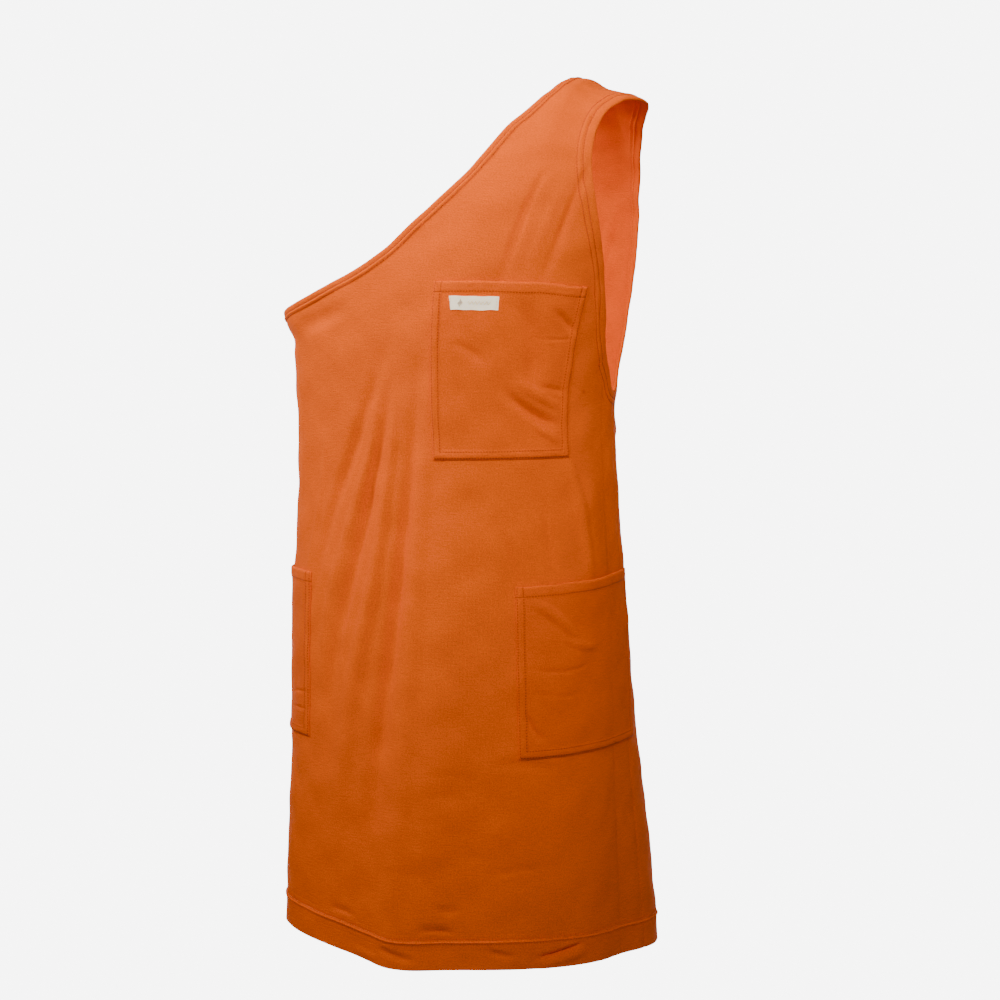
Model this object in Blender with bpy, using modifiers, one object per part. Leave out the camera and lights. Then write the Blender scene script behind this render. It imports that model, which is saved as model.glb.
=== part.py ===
"""Shoulder robe: a sleeveless cotton jersey garment that crosses one shoulder, kept in its worn form.

Metres. +X is the wearer's left, -Y the front, +Z up. The origin is the middle of the underside of the
shoulder strap, where the wearer carries it.

Every piece of cloth is cut from one surface, which is read by two numbers. The turn goes round the body,
0 degrees at the wearer's left, 90 in the middle and 180 at the right. The path runs from the front hem,
negative, over the shoulder line at 0, and down the back, positive. The level is the same path as a height:
0 at the foot of the armhole, below it a drop in metres, above it the way up the arch of the shoulder.
"""
import bpy
import numpy as np

# Where the robe hangs: its middle plane lies beside the strap, and the armhole's foot below it.
BODY_AXIS_X = -0.155
ARMHOLE_DROP = 0.2665
ARCH_HEIGHT = 0.277
ARCH_FULLNESS = 0.7
RIDGE_LEVEL = ARCH_HEIGHT * np.pi / 2.0

# Cloth
PANEL_WALL = 0.0016
HEM_WALL = 0.0028
HEM_HEIGHT = 0.024
HEM_STEP = 0.0025
SEAM_GAP = 0.0003
LAID_GAP = 0.0007
NECK_BINDING_WIDTH = 0.0095
NECK_BINDING_WALL = 0.0030
ARMHOLE_BINDING_WIDTH = 0.0135
ARMHOLE_BINDING_WALL = 0.0026
BINDING_CROWN = 0.0003
POCKET_WALL = 0.0014
POCKET_HEM_WALL = 0.0024
POCKET_HEM_HEIGHT = 0.009
LABEL_WALL = 0.0010

# Grid sizes: columns across a panel, those of them that end at the neckline, and rows of body and strap
PANEL_COLUMNS = 40
UNDERARM_COLUMNS = 8
BODY_ROWS = 18
STRAP_ROWS = 22
STRAP_CROWDING = 1.3
EDGE_SAMPLES = 160

HEM_POINT_ROWS = 3

# Half the gap of a side seam, as a turn, and the share of the neckline that lies under the bare arm
SIDE_RADIUS = 0.11
SEAM_HALF_TURN = SEAM_GAP / 2.0 / SIDE_RADIUS
UNDERARM_SHARE = 0.20

# Rings round the body.
# level, half_width, front_depth, back_depth, squareness, across
BODY_RINGS = (
    (-0.500, 0.1655, 0.124, 0.152, 2.4, 0.001),
    (-0.420, 0.1630, 0.122, 0.142, 2.4, 0.000),
    (-0.300, 0.1585, 0.121, 0.126, 2.3, -0.001),
    (-0.180, 0.1555, 0.118, 0.116, 2.3, -0.002),
    (-0.080, 0.1500, 0.115, 0.106, 2.3, -0.002),
    (0.000, 0.1490, 0.119, 0.102, 2.3, -0.003),
    (0.070, 0.1605, 0.125, 0.107, 2.3, -0.003),
    (0.150, 0.1760, 0.126, 0.112, 2.3, 0.000),
    (0.240, 0.2000, 0.124, 0.112, 2.2, 0.000),
    (0.330, 0.2250, 0.120, 0.108, 2.1, 0.000),
    (0.400, 0.2430, 0.116, 0.106, 2.0, 0.000),
    (0.436, 0.2450, 0.115, 0.105, 2.0, 0.000),
)
# The shoulder line from the neck to the tip of the shoulder.
# across from the body's axis, height
SHOULDER_LINE = (
    (0.085, 0.0190),
    (0.105, 0.0178),
    (0.125, 0.0075),
    (0.155, 0.0008),
    (0.175, -0.0050),
    (0.200, -0.0190),
)
# The lower edge, all round: 0 wearer's left, 90 front, 180 right, 270 back.
# around_degrees, level
HEM_LINE = (
    (0.0, -0.4930),
    (45.0, -0.4915),
    (68.0, -0.4950),
    (88.0, -0.4990),
    (120.0, -0.4885),
    (150.0, -0.4835),
    (180.0, -0.4840),
    (225.0, -0.4920),
    (270.0, -0.4990),
    (320.0, -0.5000),
    (360.0, -0.4930),
)
# Outer edges of the two openings, each from its side seam up to the shoulder line.
# turn_degrees, level
NECK_FRONT = (
    (186.0, 0.0717), (166.0, 0.0727), (147.5, 0.0752), (126.4, 0.0847), (109.8, 0.1002), (97.7, 0.1158),
    (90.1, 0.1314), (83.1, 0.1530), (77.1, 0.1735), (70.0, 0.2045), (66.0, 0.2336), (63.0, 0.2735),
    (60.5, 0.3091), (59.8, 0.3538), (60.4, 0.3945), (61.6, RIDGE_LEVEL),
)
NECK_BACK = (
    (174.0, 0.0717), (160.0, 0.0722), (139.9, 0.0772), (119.9, 0.0882), (103.7, 0.1043), (91.6, 0.1284),
    (82.5, 0.1587), (76.0, 0.1988), (71.0, 0.2487), (67.5, 0.2985), (65.0, 0.3483), (63.1, 0.3936),
    (61.6, RIDGE_LEVEL),
)
ARMHOLE_FRONT = (
    (-15.0, 0.0050), (-11.5, 0.0070), (-6.0, 0.0208), (0.0, 0.0364), (4.5, 0.0550), (9.0, 0.0853), (16.0, 0.1283),
    (20.5, 0.1500), (27.0, 0.1845), (34.5, 0.2320), (38.5, 0.2715), (41.0, 0.3135),
    (41.9, 0.3515), (42.0, 0.3900), (41.3, RIDGE_LEVEL),
)
ARMHOLE_BACK = (
    (15.0, 0.0050), (18.5, 0.0070), (22.5, 0.0220), (26.0, 0.0500),
    (31.0, 0.0900), (36.0, 0.1400), (40.0, 0.1850), (42.5, 0.2400), (43.0, 0.2900),
    (41.8, 0.3300), (40.7, 0.3650), (40.5, 0.3980), (41.3, RIDGE_LEVEL),
)
# The two openings: edges, and how many of their first spaces take which share of each half's length
NECK = (NECK_FRONT, NECK_BACK, UNDERARM_COLUMNS, UNDERARM_SHARE)
ARMHOLE = (ARMHOLE_FRONT, ARMHOLE_BACK, 0, 0.0)

# The largest soft folds and flares. A flare keeps its height down to the hem, a fold dies out.
# side (-1 front, 1 back), top_turn, top_level, foot_turn, foot_level, half_width, height, flare
FOLDS = (
    (-1, 100.0, 0.010, 120.0, -0.110, 0.013, 0.0030, 0),
    (-1, 93.0, 0.000, 115.0, -0.230, 0.013, 0.0040, 0),
    (-1, 85.0, 0.000, 104.0, -0.320, 0.014, 0.0042, 0),
    (-1, 74.0, 0.000, 88.0, -0.500, 0.022, 0.0055, 1),
    (-1, 50.0, 0.215, 52.0, 0.095, 0.009, -0.0020, 0),
    (-1, 42.0, 0.235, 40.0, 0.100, 0.009, -0.0022, 0),
    (-1, 12.0, -0.040, 8.0, -0.200, 0.016, 0.0025, 0),
    (-1, 36.0, -0.330, 30.0, -0.500, 0.030, 0.0030, 1),
    (1, 37.0, -0.120, 32.0, -0.500, 0.042, 0.0105, 1),
    (1, 72.0, -0.020, 80.0, -0.500, 0.028, 0.0070, 1),
    (1, 104.0, -0.060, 108.0, -0.500, 0.024, 0.0050, 1),
    (1, 140.0, -0.050, 136.0, -0.500, 0.032, 0.0080, 1),
    (1, 58.0, 0.210, 50.0, 0.060, 0.012, -0.0020, 0),
    (1, 96.0, 0.080, 84.0, -0.080, 0.018, 0.0030, 0),
)
# The radius by which their turns are read as lengths, and the share of a fold over which each end dies out
FOLD_RADIUS = 0.14
FOLD_END_SHARE = 0.4

# Pockets by their corners, two turns at the mouth, two at the foot, and the levels there.
# mouth_first_turn, mouth_last_turn, foot_first_turn, foot_last_turn,
# mouth_first_level, mouth_last_level, foot_first_level, foot_last_level, columns, rows, mouth_lift
POCKETS = {
    "chest_pocket": (72.3, 20.8, 72.3, 22.7, 0.097, 0.098, -0.054, -0.052, 14, 12, 0.0004),
    "left_side_pocket": (46.0, -20.0, 45.5, -19.0, -0.1625, -0.1560, -0.3110, -0.3060, 12, 9, 0.0020),
    "right_side_pocket": (190.5, 124.5, 190.5, 124.0, -0.1560, -0.1575, -0.3060, -0.3065, 12, 9, 0.0016),
}
# The share of a pocket's height over which its mouth stands away, and the room below its hem's step
POCKET_LIFT_SHARE = 0.3
POCKET_HEM_STEP = 0.01
# The woven label under the chest pocket's hem: turns of its ends, levels of its edges, columns and rows
LABEL_TURNS = (68.5, 51.8)
LABEL_LEVELS = (0.0745, 0.0865)
LABEL_CELLS = (6, 2)

# Colours as sRGB, from 0 to 1, and roughness
JERSEY_COLOUR = (0.83, 0.34, 0.07)
BINDING_COLOUR = (0.85, 0.36, 0.08)
POCKET_COLOUR = (0.80, 0.32, 0.06)
LABEL_COLOUR = (0.92, 0.89, 0.80)
JERSEY_ROUGHNESS = 0.92
LABEL_ROUGHNESS = 0.80


def curve(table, at):
    """Smooth cubic through a table's rows, read at positions in its first column."""
    table = np.asarray(table, float)
    keys, values = table[:, 0], table[:, 1:]
    steps = np.diff(keys)
    slopes = np.diff(values, axis=0) / steps[:, None]
    share = (steps[1:] / (steps[:-1] + steps[1:]))[:, None]
    tangents = np.vstack((slopes[:1], slopes[:-1] * share + slopes[1:] * (1.0 - share), slopes[-1:]))
    at = np.clip(np.asarray(at, float), keys[0], keys[-1])
    row = np.clip(np.searchsorted(keys, at, side="right") - 1, 0, len(keys) - 2)
    width = steps[row][..., None]
    part = (at - keys[row])[..., None] / width
    start = (2.0 * part**3 - 3.0 * part**2 + 1.0) * values[row]
    finish = (3.0 * part**2 - 2.0 * part**3) * values[row + 1]
    leave = (part**3 - 2.0 * part**2 + part) * width * tangents[row]
    arrive = (part**3 - part**2) * width * tangents[row + 1]
    return start + finish + leave + arrive


def smoothstep(value):
    """0 below 0, 1 above 1, and a soft rise between."""
    value = np.clip(value, 0.0, 1.0)
    return value * value * (3.0 - 2.0 * value)


def facing_side(turn, path):
    """-1 where a point lies on the front of the body, 1 on its back."""
    return np.where(path > 0.0, 1.0, -1.0) * np.where(np.sin(turn) < 0.0, -1.0, 1.0)


def body_surface(turn, path):
    """The robe without its folds: squared rings, closed over the shoulder by a full, rounded arch."""
    turn, path = np.broadcast_arrays(np.asarray(turn, float), np.asarray(path, float))
    level = RIDGE_LEVEL - np.abs(path)
    half_width, front, back, squareness, across = np.moveaxis(curve(BODY_RINGS, level), -1, 0)
    lift = np.maximum(level, 0.0) / ARCH_HEIGHT
    cosine, sine = np.cos(turn), np.abs(np.sin(turn))
    radius = (np.abs(cosine)**squareness + sine**squareness)**(-1.0 / squareness)
    side = facing_side(turn, path)
    offset = across + half_width * cosine * radius
    arch = np.cos(lift) * np.sqrt(1.0 + ARCH_FULLNESS * np.sin(lift)**2)
    y = side * np.where(side < 0.0, front, back) * sine * radius * arch
    ridge = curve(SHOULDER_LINE, offset)[..., 0]
    z = np.where(level < 0.0, level, (ridge + ARMHOLE_DROP) * np.sin(lift)) - ARMHOLE_DROP
    return np.stack((BODY_AXIS_X + offset, y, z), -1)


def slopes_of(surface, turn, path):
    """Derivatives of a surface along its turn and along its path."""
    turn_step, path_step = 1e-3, 1.5e-4
    along_turn = (surface(turn + turn_step, path) - surface(turn - turn_step, path)) / (2.0 * turn_step)
    along_path = (surface(turn, path + path_step) - surface(turn, path - path_step)) / (2.0 * path_step)
    return along_turn, along_path


def outward(surface, turn, path):
    """Unit normal of a surface, away from the body."""
    along_turn, along_path = slopes_of(surface, turn, path)
    normal = np.cross(along_path, along_turn)
    return normal / np.linalg.norm(normal, axis=-1, keepdims=True)


def fold_height(turn, path):
    """How far the folds push the cloth out: rounded ridges along slanting lines."""
    side = facing_side(turn, path)
    level = RIDGE_LEVEL - np.abs(path)
    around = np.arccos(np.clip(np.cos(turn), -1.0, 1.0))
    total = np.zeros(np.shape(level))
    for fold_side, top_turn, top_level, foot_turn, foot_level, half_width, height, flare in FOLDS:
        part = (top_level - level) / (top_level - foot_level)
        line = np.radians(top_turn + (foot_turn - top_turn) * part)
        distance = np.clip((around - line) * FOLD_RADIUS / (2.0 * half_width), -1.0, 1.0)
        ridge = 0.5 + 0.5 * np.cos(np.pi * distance)
        ends = smoothstep(part / FOLD_END_SHARE) * smoothstep((1.0 - part) / FOLD_END_SHARE)
        run = smoothstep(part) if flare else ends
        total = total + np.where(side == fold_side, height * ridge * run, 0.0)
    return total


def robe_surface(turn, path):
    """Middle of the cloth: the body's surface with its folds."""
    turn, path = np.broadcast_arrays(np.asarray(turn, float), np.asarray(path, float))
    push = fold_height(turn, path)[..., None]
    return body_surface(turn, path) + outward(body_surface, turn, path) * push


def raised_surface(turn, path, height):
    """Points of the robe moved out by a height."""
    return robe_surface(turn, path) + outward(robe_surface, turn, path) * np.asarray(height)[..., None]


def lengths_along(points):
    """Distance of each point from the first, along the line through them."""
    return np.concatenate(((0.0,), np.cumsum(np.linalg.norm(np.diff(points, axis=0), axis=1))))


def read_line(line, fractions):
    """A line of turns and paths, read at fractions of its length on the robe."""
    lengths = lengths_along(robe_surface(line[:, 0], line[:, 1]))
    wanted = np.asarray(fractions) * lengths[-1]
    return np.stack([np.interp(wanted, lengths, line[:, column]) for column in (0, 1)], -1)


def half_edge(rows, side):
    """One half of an opening's edge, from its side seam to the shoulder line, finely and evenly sampled."""
    rows = np.array(rows, float)
    knots = np.stack((np.radians(rows[:, 0]), side * (RIDGE_LEVEL - rows[:, 1])), -1)
    keys = lengths_along(body_surface(knots[:, 0], knots[:, 1]))
    fine = curve(np.column_stack((keys, knots)), np.linspace(0.0, keys[-1], 4 * EDGE_SAMPLES))
    return read_line(fine, np.linspace(0.0, 1.0, EDGE_SAMPLES + 1))


def starts_at_left(edge):
    """True for an armhole's edge, which leaves the wearer's left side seam."""
    return abs(edge[0, 0]) < np.pi / 2.0


def from_other_side(edge):
    """An edge's first point, told from the back of the body."""
    turn, path = edge[0]
    return np.array((-turn if starts_at_left(edge) else 2.0 * np.pi - turn, -path))


def row_fractions(first_rows, first_share):
    """Places of the rows along half an edge: its first ones even, the others closer near the shoulder line."""
    first = np.linspace(0.0, first_share, first_rows + 1)[:-1]
    strap = 1.0 - (1.0 - np.linspace(0.0, 1.0, STRAP_ROWS + 1))**STRAP_CROWDING
    return np.concatenate((first, first_share + (1.0 - first_share) * strap))


def opening_edge(front_rows, back_rows, first_rows, first_share):
    """An opening's whole edge: up the front from its side seam and down the back to the same seam."""
    fractions = row_fractions(first_rows, first_share)
    front = read_line(half_edge(front_rows, -1), fractions)
    back = read_line(half_edge(back_rows, 1), fractions)
    return np.concatenate((front, back[::-1][1:]))


def inset(edge, distance):
    """A whole edge moved into the cloth by a distance, square to itself and along the surface."""
    turn, path = edge[:, 0], edge[:, 1]
    points = body_surface(turn, path)
    loop = points[:-1]
    tangent = np.roll(loop, -1, axis=0) - np.roll(loop, 1, axis=0)
    tangent = np.concatenate((tangent, tangent[:1]))
    inward = np.cross(tangent, outward(body_surface, turn, path))
    hand = -1.0 if starts_at_left(edge) else 1.0
    inward *= hand * distance / np.linalg.norm(inward, axis=1, keepdims=True)
    along_turn, along_path = slopes_of(body_surface, turn, path)
    turn_turn = (along_turn**2).sum(-1)
    path_path = (along_path**2).sum(-1)
    turn_path = (along_turn * along_path).sum(-1)
    by_turn = (along_turn * inward).sum(-1)
    by_path = (along_path * inward).sum(-1)
    scale = turn_turn * path_path - turn_path**2
    turn_move = (by_turn * path_path - by_path * turn_path) / scale
    path_move = (by_path * turn_turn - by_turn * turn_path) / scale
    moved = edge + np.stack((turn_move, path_move), -1)
    moved[-1] = from_other_side(moved)
    return moved


def panel_edge(edge, side):
    """The half of an inset edge that belongs to one panel, drawn back by half of each seam's gap."""
    middle = len(edge) // 2
    half = edge[:middle + 1].copy() if side < 0 else edge[middle:][::-1].copy()
    half[0, 0] += SEAM_HALF_TURN if starts_at_left(edge) else -SEAM_HALF_TURN
    near = slice(middle - 3, middle + 4)
    half[-1, 1] = side * SEAM_GAP / 2.0
    half[-1, 0] = np.interp(half[-1, 1], edge[near, 1], edge[near, 0])
    return half


def hem_path(turn, side):
    """The lower edge's path for a turn on one side of the body."""
    around = np.degrees(turn) if side < 0 else -np.degrees(turn)
    return side * (RIDGE_LEVEL - curve(HEM_LINE, np.mod(around, 360.0))[..., 0])


def panel_grid(side):
    """Turns and paths of a panel's points, row by row from the hem to the shoulder seam, and its empty cells.

    The first columns end at the neckline under the bare arm. The others go on up the strap.
    """
    neck = panel_edge(inset(opening_edge(*NECK), NECK_BINDING_WIDTH + SEAM_GAP), side)
    armhole = panel_edge(inset(opening_edge(*ARMHOLE), ARMHOLE_BINDING_WIDTH + SEAM_GAP), side)
    across = np.linspace(0.0, 1.0, PANEL_COLUMNS - UNDERARM_COLUMNS + 1)[:, None]
    strap = neck[UNDERARM_COLUMNS:, None, :] * (1.0 - across) + armhole[:, None, :] * across
    turns, top = np.concatenate((neck[:UNDERARM_COLUMNS], strap[0])).T

    hem = hem_path(turns, side)
    start = hem - side * (HEM_HEIGHT + HEM_STEP)
    rows = [hem, hem - side * (HEM_HEIGHT - HEM_STEP), hem - side * HEM_HEIGHT]
    rows += [start + (top - start) * part for part in np.linspace(0.0, 1.0, BODY_ROWS + 1)]
    body = np.stack((np.broadcast_to(turns, (len(rows), len(turns))), np.array(rows)), -1)

    beside = np.repeat(strap[1:, :1], UNDERARM_COLUMNS, axis=1)
    grid = np.concatenate((body, np.concatenate((beside, strap[1:]), 1)))
    empty = np.zeros((len(grid) - 1, PANEL_COLUMNS), bool)
    empty[len(body) - 1:, :UNDERARM_COLUMNS] = True
    return grid, empty


def binding_grid(opening, width):
    """Turns and paths of a binding: crosswise rows all round, from its outer to its inner edge."""
    edge = opening_edge(*opening)
    return np.stack([inset(edge, width * share) for share in (0.0, 0.5, 1.0)], 1)[:-1]


def pocket_grid(corners):
    """Turns and paths of a patch between four corners, rows from the foot to the mouth."""
    turns, levels = np.radians(corners[:4]), corners[4:8]
    columns, rows, mouth_lift = corners[8:]
    across = np.linspace(0.0, 1.0, columns + 1)
    depth = np.abs(levels[0] - levels[2])
    hem = 1.0 - POCKET_HEM_HEIGHT / depth
    up = np.concatenate((np.linspace(0.0, hem - POCKET_HEM_STEP, rows), (hem, 1.0)))[:, None]
    turn = (turns[0] + (turns[1] - turns[0]) * across) * up + (turns[2] + (turns[3] - turns[2]) * across) * (1 - up)
    level = (levels[0] + (levels[1] - levels[0]) * across) * up
    level = level + (levels[2] + (levels[3] - levels[2]) * across) * (1.0 - up)
    lift = mouth_lift * smoothstep((up - 1.0) / POCKET_LIFT_SHARE + 1.0) * np.sin(np.pi * across)
    return np.stack((turn, level - RIDGE_LEVEL), -1), lift, np.broadcast_to(up >= hem, turn.shape)


def label_grid():
    """Turns and paths of the label, rows from its lower to its upper edge."""
    columns, rows = LABEL_CELLS
    turns = np.radians(np.linspace(*LABEL_TURNS, columns + 1))
    levels = np.linspace(*LABEL_LEVELS, rows + 1)
    return np.stack(np.meshgrid(turns, levels - RIDGE_LEVEL), -1)


def to_linear(colour):
    """sRGB values to linear ones, with alpha."""
    colour = np.asarray(colour, float)
    linear = np.where(colour <= 0.04045, colour / 12.92, ((colour + 0.055) / 1.055)**2.4)
    return (*linear, 1.0)


def cloth_material(name, colour, roughness):
    """A Principled material for one piece."""
    material = bpy.data.materials.new(name)
    material.use_nodes = True
    shader = material.node_tree.nodes["Principled BSDF"]
    shader.inputs["Base Color"].default_value = to_linear(colour)
    shader.inputs["Roughness"].default_value = roughness
    shader.inputs["Metallic"].default_value = 0.0
    return material


def sheet_object(name, points, material, wall, offset, closed=False, empty=None, thick=None, thin_share=1.0):
    """An open sheet through rows of points, facing out, with a Solidify wall.

    Empty marks cells without cloth. Where thick marks points, they have the full wall, the others their share.
    """
    rows, columns = points.shape[:2]
    index = np.arange(rows * columns).reshape(rows, columns)
    below = index if closed else index[:-1]
    above = np.roll(index, -1, axis=0) if closed else index[1:]
    cells = np.stack((below[:, :-1], below[:, 1:], above[:, 1:], above[:, :-1]), -1)
    cells = cells.reshape(-1, 4) if empty is None else cells[~empty]
    used, faces = np.unique(cells, return_inverse=True)
    mesh = bpy.data.meshes.new(name)
    mesh.from_pydata(points.reshape(-1, 3)[used].tolist(), [], faces.reshape(-1, 4).tolist())
    mesh.materials.append(material)
    mesh.shade_smooth()
    piece = bpy.data.objects.new(name, mesh)
    robe_collection.objects.link(piece)
    solidify = piece.modifiers.new("wall", "SOLIDIFY")
    solidify.thickness = wall
    solidify.offset = offset
    if thick is not None:
        group = piece.vertex_groups.new(name="thick")
        group.add(np.flatnonzero(thick.ravel()[used]).tolist(), 1.0, "REPLACE")
        solidify.vertex_group = group.name
        solidify.thickness_vertex_group = thin_share
    return piece


def make_panel(name, side):
    """The front or the back of the robe, with its turned hem."""
    grid, empty = panel_grid(side)
    if side > 0:
        grid, empty = grid[:, ::-1], empty[:, ::-1]
    points = robe_surface(grid[..., 0], grid[..., 1])
    thick = np.zeros(points.shape[:2], bool)
    thick[:HEM_POINT_ROWS] = True
    material = cloth_material(name, JERSEY_COLOUR, JERSEY_ROUGHNESS)
    thin_share = PANEL_WALL / HEM_WALL
    return sheet_object(name, points, material, HEM_WALL, 0.0, empty=empty, thick=thick, thin_share=thin_share)


def make_binding(name, opening, width, wall):
    """A folded strip that closes an opening's edge, all the way round."""
    grid = binding_grid(opening, width)
    crown = np.broadcast_to(np.array((0.0, BINDING_CROWN, 0.0)), grid.shape[:2])
    points = raised_surface(grid[..., 0], grid[..., 1], crown)
    material = cloth_material(name, BINDING_COLOUR, JERSEY_ROUGHNESS)
    return sheet_object(name, points, material, wall, 0.0, closed=True)


def make_pocket(name):
    """A patch pocket that lies on the panels, with its turned mouth."""
    grid, lift, thick = pocket_grid(POCKETS[name])
    seat = PANEL_WALL / 2.0 + LAID_GAP
    points = raised_surface(grid[..., 0], grid[..., 1], seat + lift)
    material = cloth_material(name, POCKET_COLOUR, JERSEY_ROUGHNESS)
    thin_share = POCKET_WALL / POCKET_HEM_WALL
    return sheet_object(name, points, material, POCKET_HEM_WALL, 1.0, thick=thick, thin_share=thin_share)


def make_label():
    """The small woven label on the chest pocket."""
    grid = label_grid()
    seat = PANEL_WALL / 2.0 + LAID_GAP + POCKET_WALL + LAID_GAP
    points = raised_surface(grid[..., 0], grid[..., 1], np.full(grid.shape[:2], seat))
    material = cloth_material("chest_label", LABEL_COLOUR, LABEL_ROUGHNESS)
    return sheet_object("chest_label", points, material, LABEL_WALL, 1.0)


for old in list(bpy.data.objects):
    bpy.data.objects.remove(old, do_unlink=True)
robe_collection = bpy.data.collections.new("shoulder_robe")
bpy.context.scene.collection.children.link(robe_collection)

make_panel("front_panel", -1)
make_panel("back_panel", 1)
make_binding("neck_binding", NECK, NECK_BINDING_WIDTH, NECK_BINDING_WALL)
make_binding("armhole_binding", ARMHOLE, ARMHOLE_BINDING_WIDTH, ARMHOLE_BINDING_WALL)
for pocket in POCKETS:
    make_pocket(pocket)
make_label()
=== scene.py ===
"""Looks of the shoulder robe: cotton jersey worn across one shoulder, with bound edges and patch pockets.

Metres, in the part's own frame: +X is the wearer's left, -Y the front, +Z up, and the origin is the middle
of the underside of the shoulder strap. Every piece of cloth is read off one surface by a turn round the body
and a path that runs from the front hem over the shoulder line to the back hem, as in the part's solids.
"""

import bpy
import numpy as np
from bpy.props import FloatProperty, FloatVectorProperty, PointerProperty
from mathutils import Matrix


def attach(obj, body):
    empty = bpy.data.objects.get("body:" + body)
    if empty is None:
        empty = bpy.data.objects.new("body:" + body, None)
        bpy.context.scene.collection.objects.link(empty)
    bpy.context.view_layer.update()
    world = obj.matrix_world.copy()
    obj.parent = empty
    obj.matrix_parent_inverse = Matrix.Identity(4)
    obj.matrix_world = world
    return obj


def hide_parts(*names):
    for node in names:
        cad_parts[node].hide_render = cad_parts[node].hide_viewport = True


bl_info = {
    "name": "Shoulder Robe",
    "version": (1, 0, 0),
    "blender": (4, 5, 0),
    "location": "View3D > Sidebar > Robe",
    "description": "Dresses the solids of a one-shoulder jersey robe as sewn cotton cloth",
    "category": "Object",
}

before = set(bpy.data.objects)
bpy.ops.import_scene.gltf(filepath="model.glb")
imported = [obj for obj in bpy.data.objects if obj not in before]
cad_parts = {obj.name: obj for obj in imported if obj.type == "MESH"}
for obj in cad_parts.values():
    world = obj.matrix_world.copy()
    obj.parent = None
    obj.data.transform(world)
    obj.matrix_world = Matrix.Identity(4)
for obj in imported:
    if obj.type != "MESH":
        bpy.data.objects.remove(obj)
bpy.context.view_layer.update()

# Where the robe hangs: its middle plane lies beside the strap, and the armhole's foot below it.
BODY_AXIS_X = -0.155
ARMHOLE_DROP = 0.2665
ARCH_HEIGHT = 0.277
ARCH_FULLNESS = 0.7
RIDGE_LEVEL = ARCH_HEIGHT * np.pi / 2.0
SEAM_GAP = 0.0003
# The radius by which a turn is read as a length round the body
ROUND_RADIUS = 0.15

# Rings round the body.
# level, half_width, front_depth, back_depth, squareness, across
BODY_RINGS = (
    (-0.500, 0.1655, 0.124, 0.152, 2.4, 0.001),
    (-0.420, 0.1630, 0.122, 0.142, 2.4, 0.000),
    (-0.300, 0.1585, 0.121, 0.126, 2.3, -0.001),
    (-0.180, 0.1555, 0.118, 0.116, 2.3, -0.002),
    (-0.080, 0.1500, 0.115, 0.106, 2.3, -0.002),
    (0.000, 0.1490, 0.119, 0.102, 2.3, -0.003),
    (0.070, 0.1605, 0.125, 0.107, 2.3, -0.003),
    (0.150, 0.1760, 0.126, 0.112, 2.3, 0.000),
    (0.240, 0.2000, 0.124, 0.112, 2.2, 0.000),
    (0.330, 0.2250, 0.120, 0.108, 2.1, 0.000),
    (0.400, 0.2430, 0.116, 0.106, 2.0, 0.000),
    (0.436, 0.2450, 0.115, 0.105, 2.0, 0.000),
)
# The shoulder line from the neck to the tip of the shoulder.
# across from the body's axis, height
SHOULDER_LINE = (
    (0.085, 0.0150), (0.105, 0.0125), (0.120, 0.0106), (0.129, 0.0103), (0.136, 0.0086), (0.141, 0.0054),
    (0.150, 0.0006), (0.160, -0.0022), (0.170, -0.0048), (0.200, -0.0190),
)
# The lower edge, all round: 0 wearer's left, 90 front, 180 right, 270 back.
# around_degrees, level
HEM_LINE = (
    (0.0, -0.4930), (45.0, -0.4915), (68.0, -0.4950), (88.0, -0.4988), (96.0, -0.4962), (106.0, -0.4914),
    (120.0, -0.4870), (135.0, -0.4848), (150.0, -0.4835), (180.0, -0.4840), (225.0, -0.4920),
    (270.0, -0.4990), (320.0, -0.5000), (360.0, -0.4930),
)
# Outer edges of the two openings, each from its side seam up to the shoulder line.
# turn_degrees, level
NECK_FRONT = (
    (186.0, 0.0717), (166.0, 0.0727), (147.5, 0.0752), (126.4, 0.0847), (109.8, 0.1002), (97.7, 0.1158),
    (90.1, 0.1314), (83.1, 0.1530), (77.1, 0.1735), (70.0, 0.2045), (66.0, 0.2336), (63.0, 0.2735),
    (60.5, 0.3091), (59.8, 0.3538), (60.4, 0.3945), (61.6, RIDGE_LEVEL),
)
NECK_BACK = (
    (174.0, 0.0717), (160.0, 0.0722), (139.9, 0.0772), (119.9, 0.0882), (103.7, 0.1043), (91.6, 0.1284),
    (82.5, 0.1587), (76.0, 0.1988), (71.0, 0.2487), (67.5, 0.2985), (65.0, 0.3483), (63.1, 0.3936),
    (61.6, RIDGE_LEVEL),
)
ARMHOLE_FRONT = (
    (-15.0, 0.0050), (-11.5, 0.0070), (-6.0, 0.0208), (0.0, 0.0364), (4.5, 0.0550), (9.0, 0.0853),
    (16.0, 0.1283), (20.5, 0.1500), (27.0, 0.1845), (34.5, 0.2320), (38.5, 0.2715), (41.0, 0.3135),
    (41.9, 0.3515), (42.0, 0.3900), (41.3, RIDGE_LEVEL),
)
ARMHOLE_BACK = (
    (15.0, 0.0050), (18.5, 0.0070), (22.5, 0.0220), (26.0, 0.0500), (31.0, 0.0900), (36.0, 0.1400),
    (40.0, 0.1850), (42.5, 0.2400), (43.0, 0.2900), (41.8, 0.3300), (40.7, 0.3650), (40.5, 0.3980),
    (41.3, RIDGE_LEVEL),
)
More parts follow.
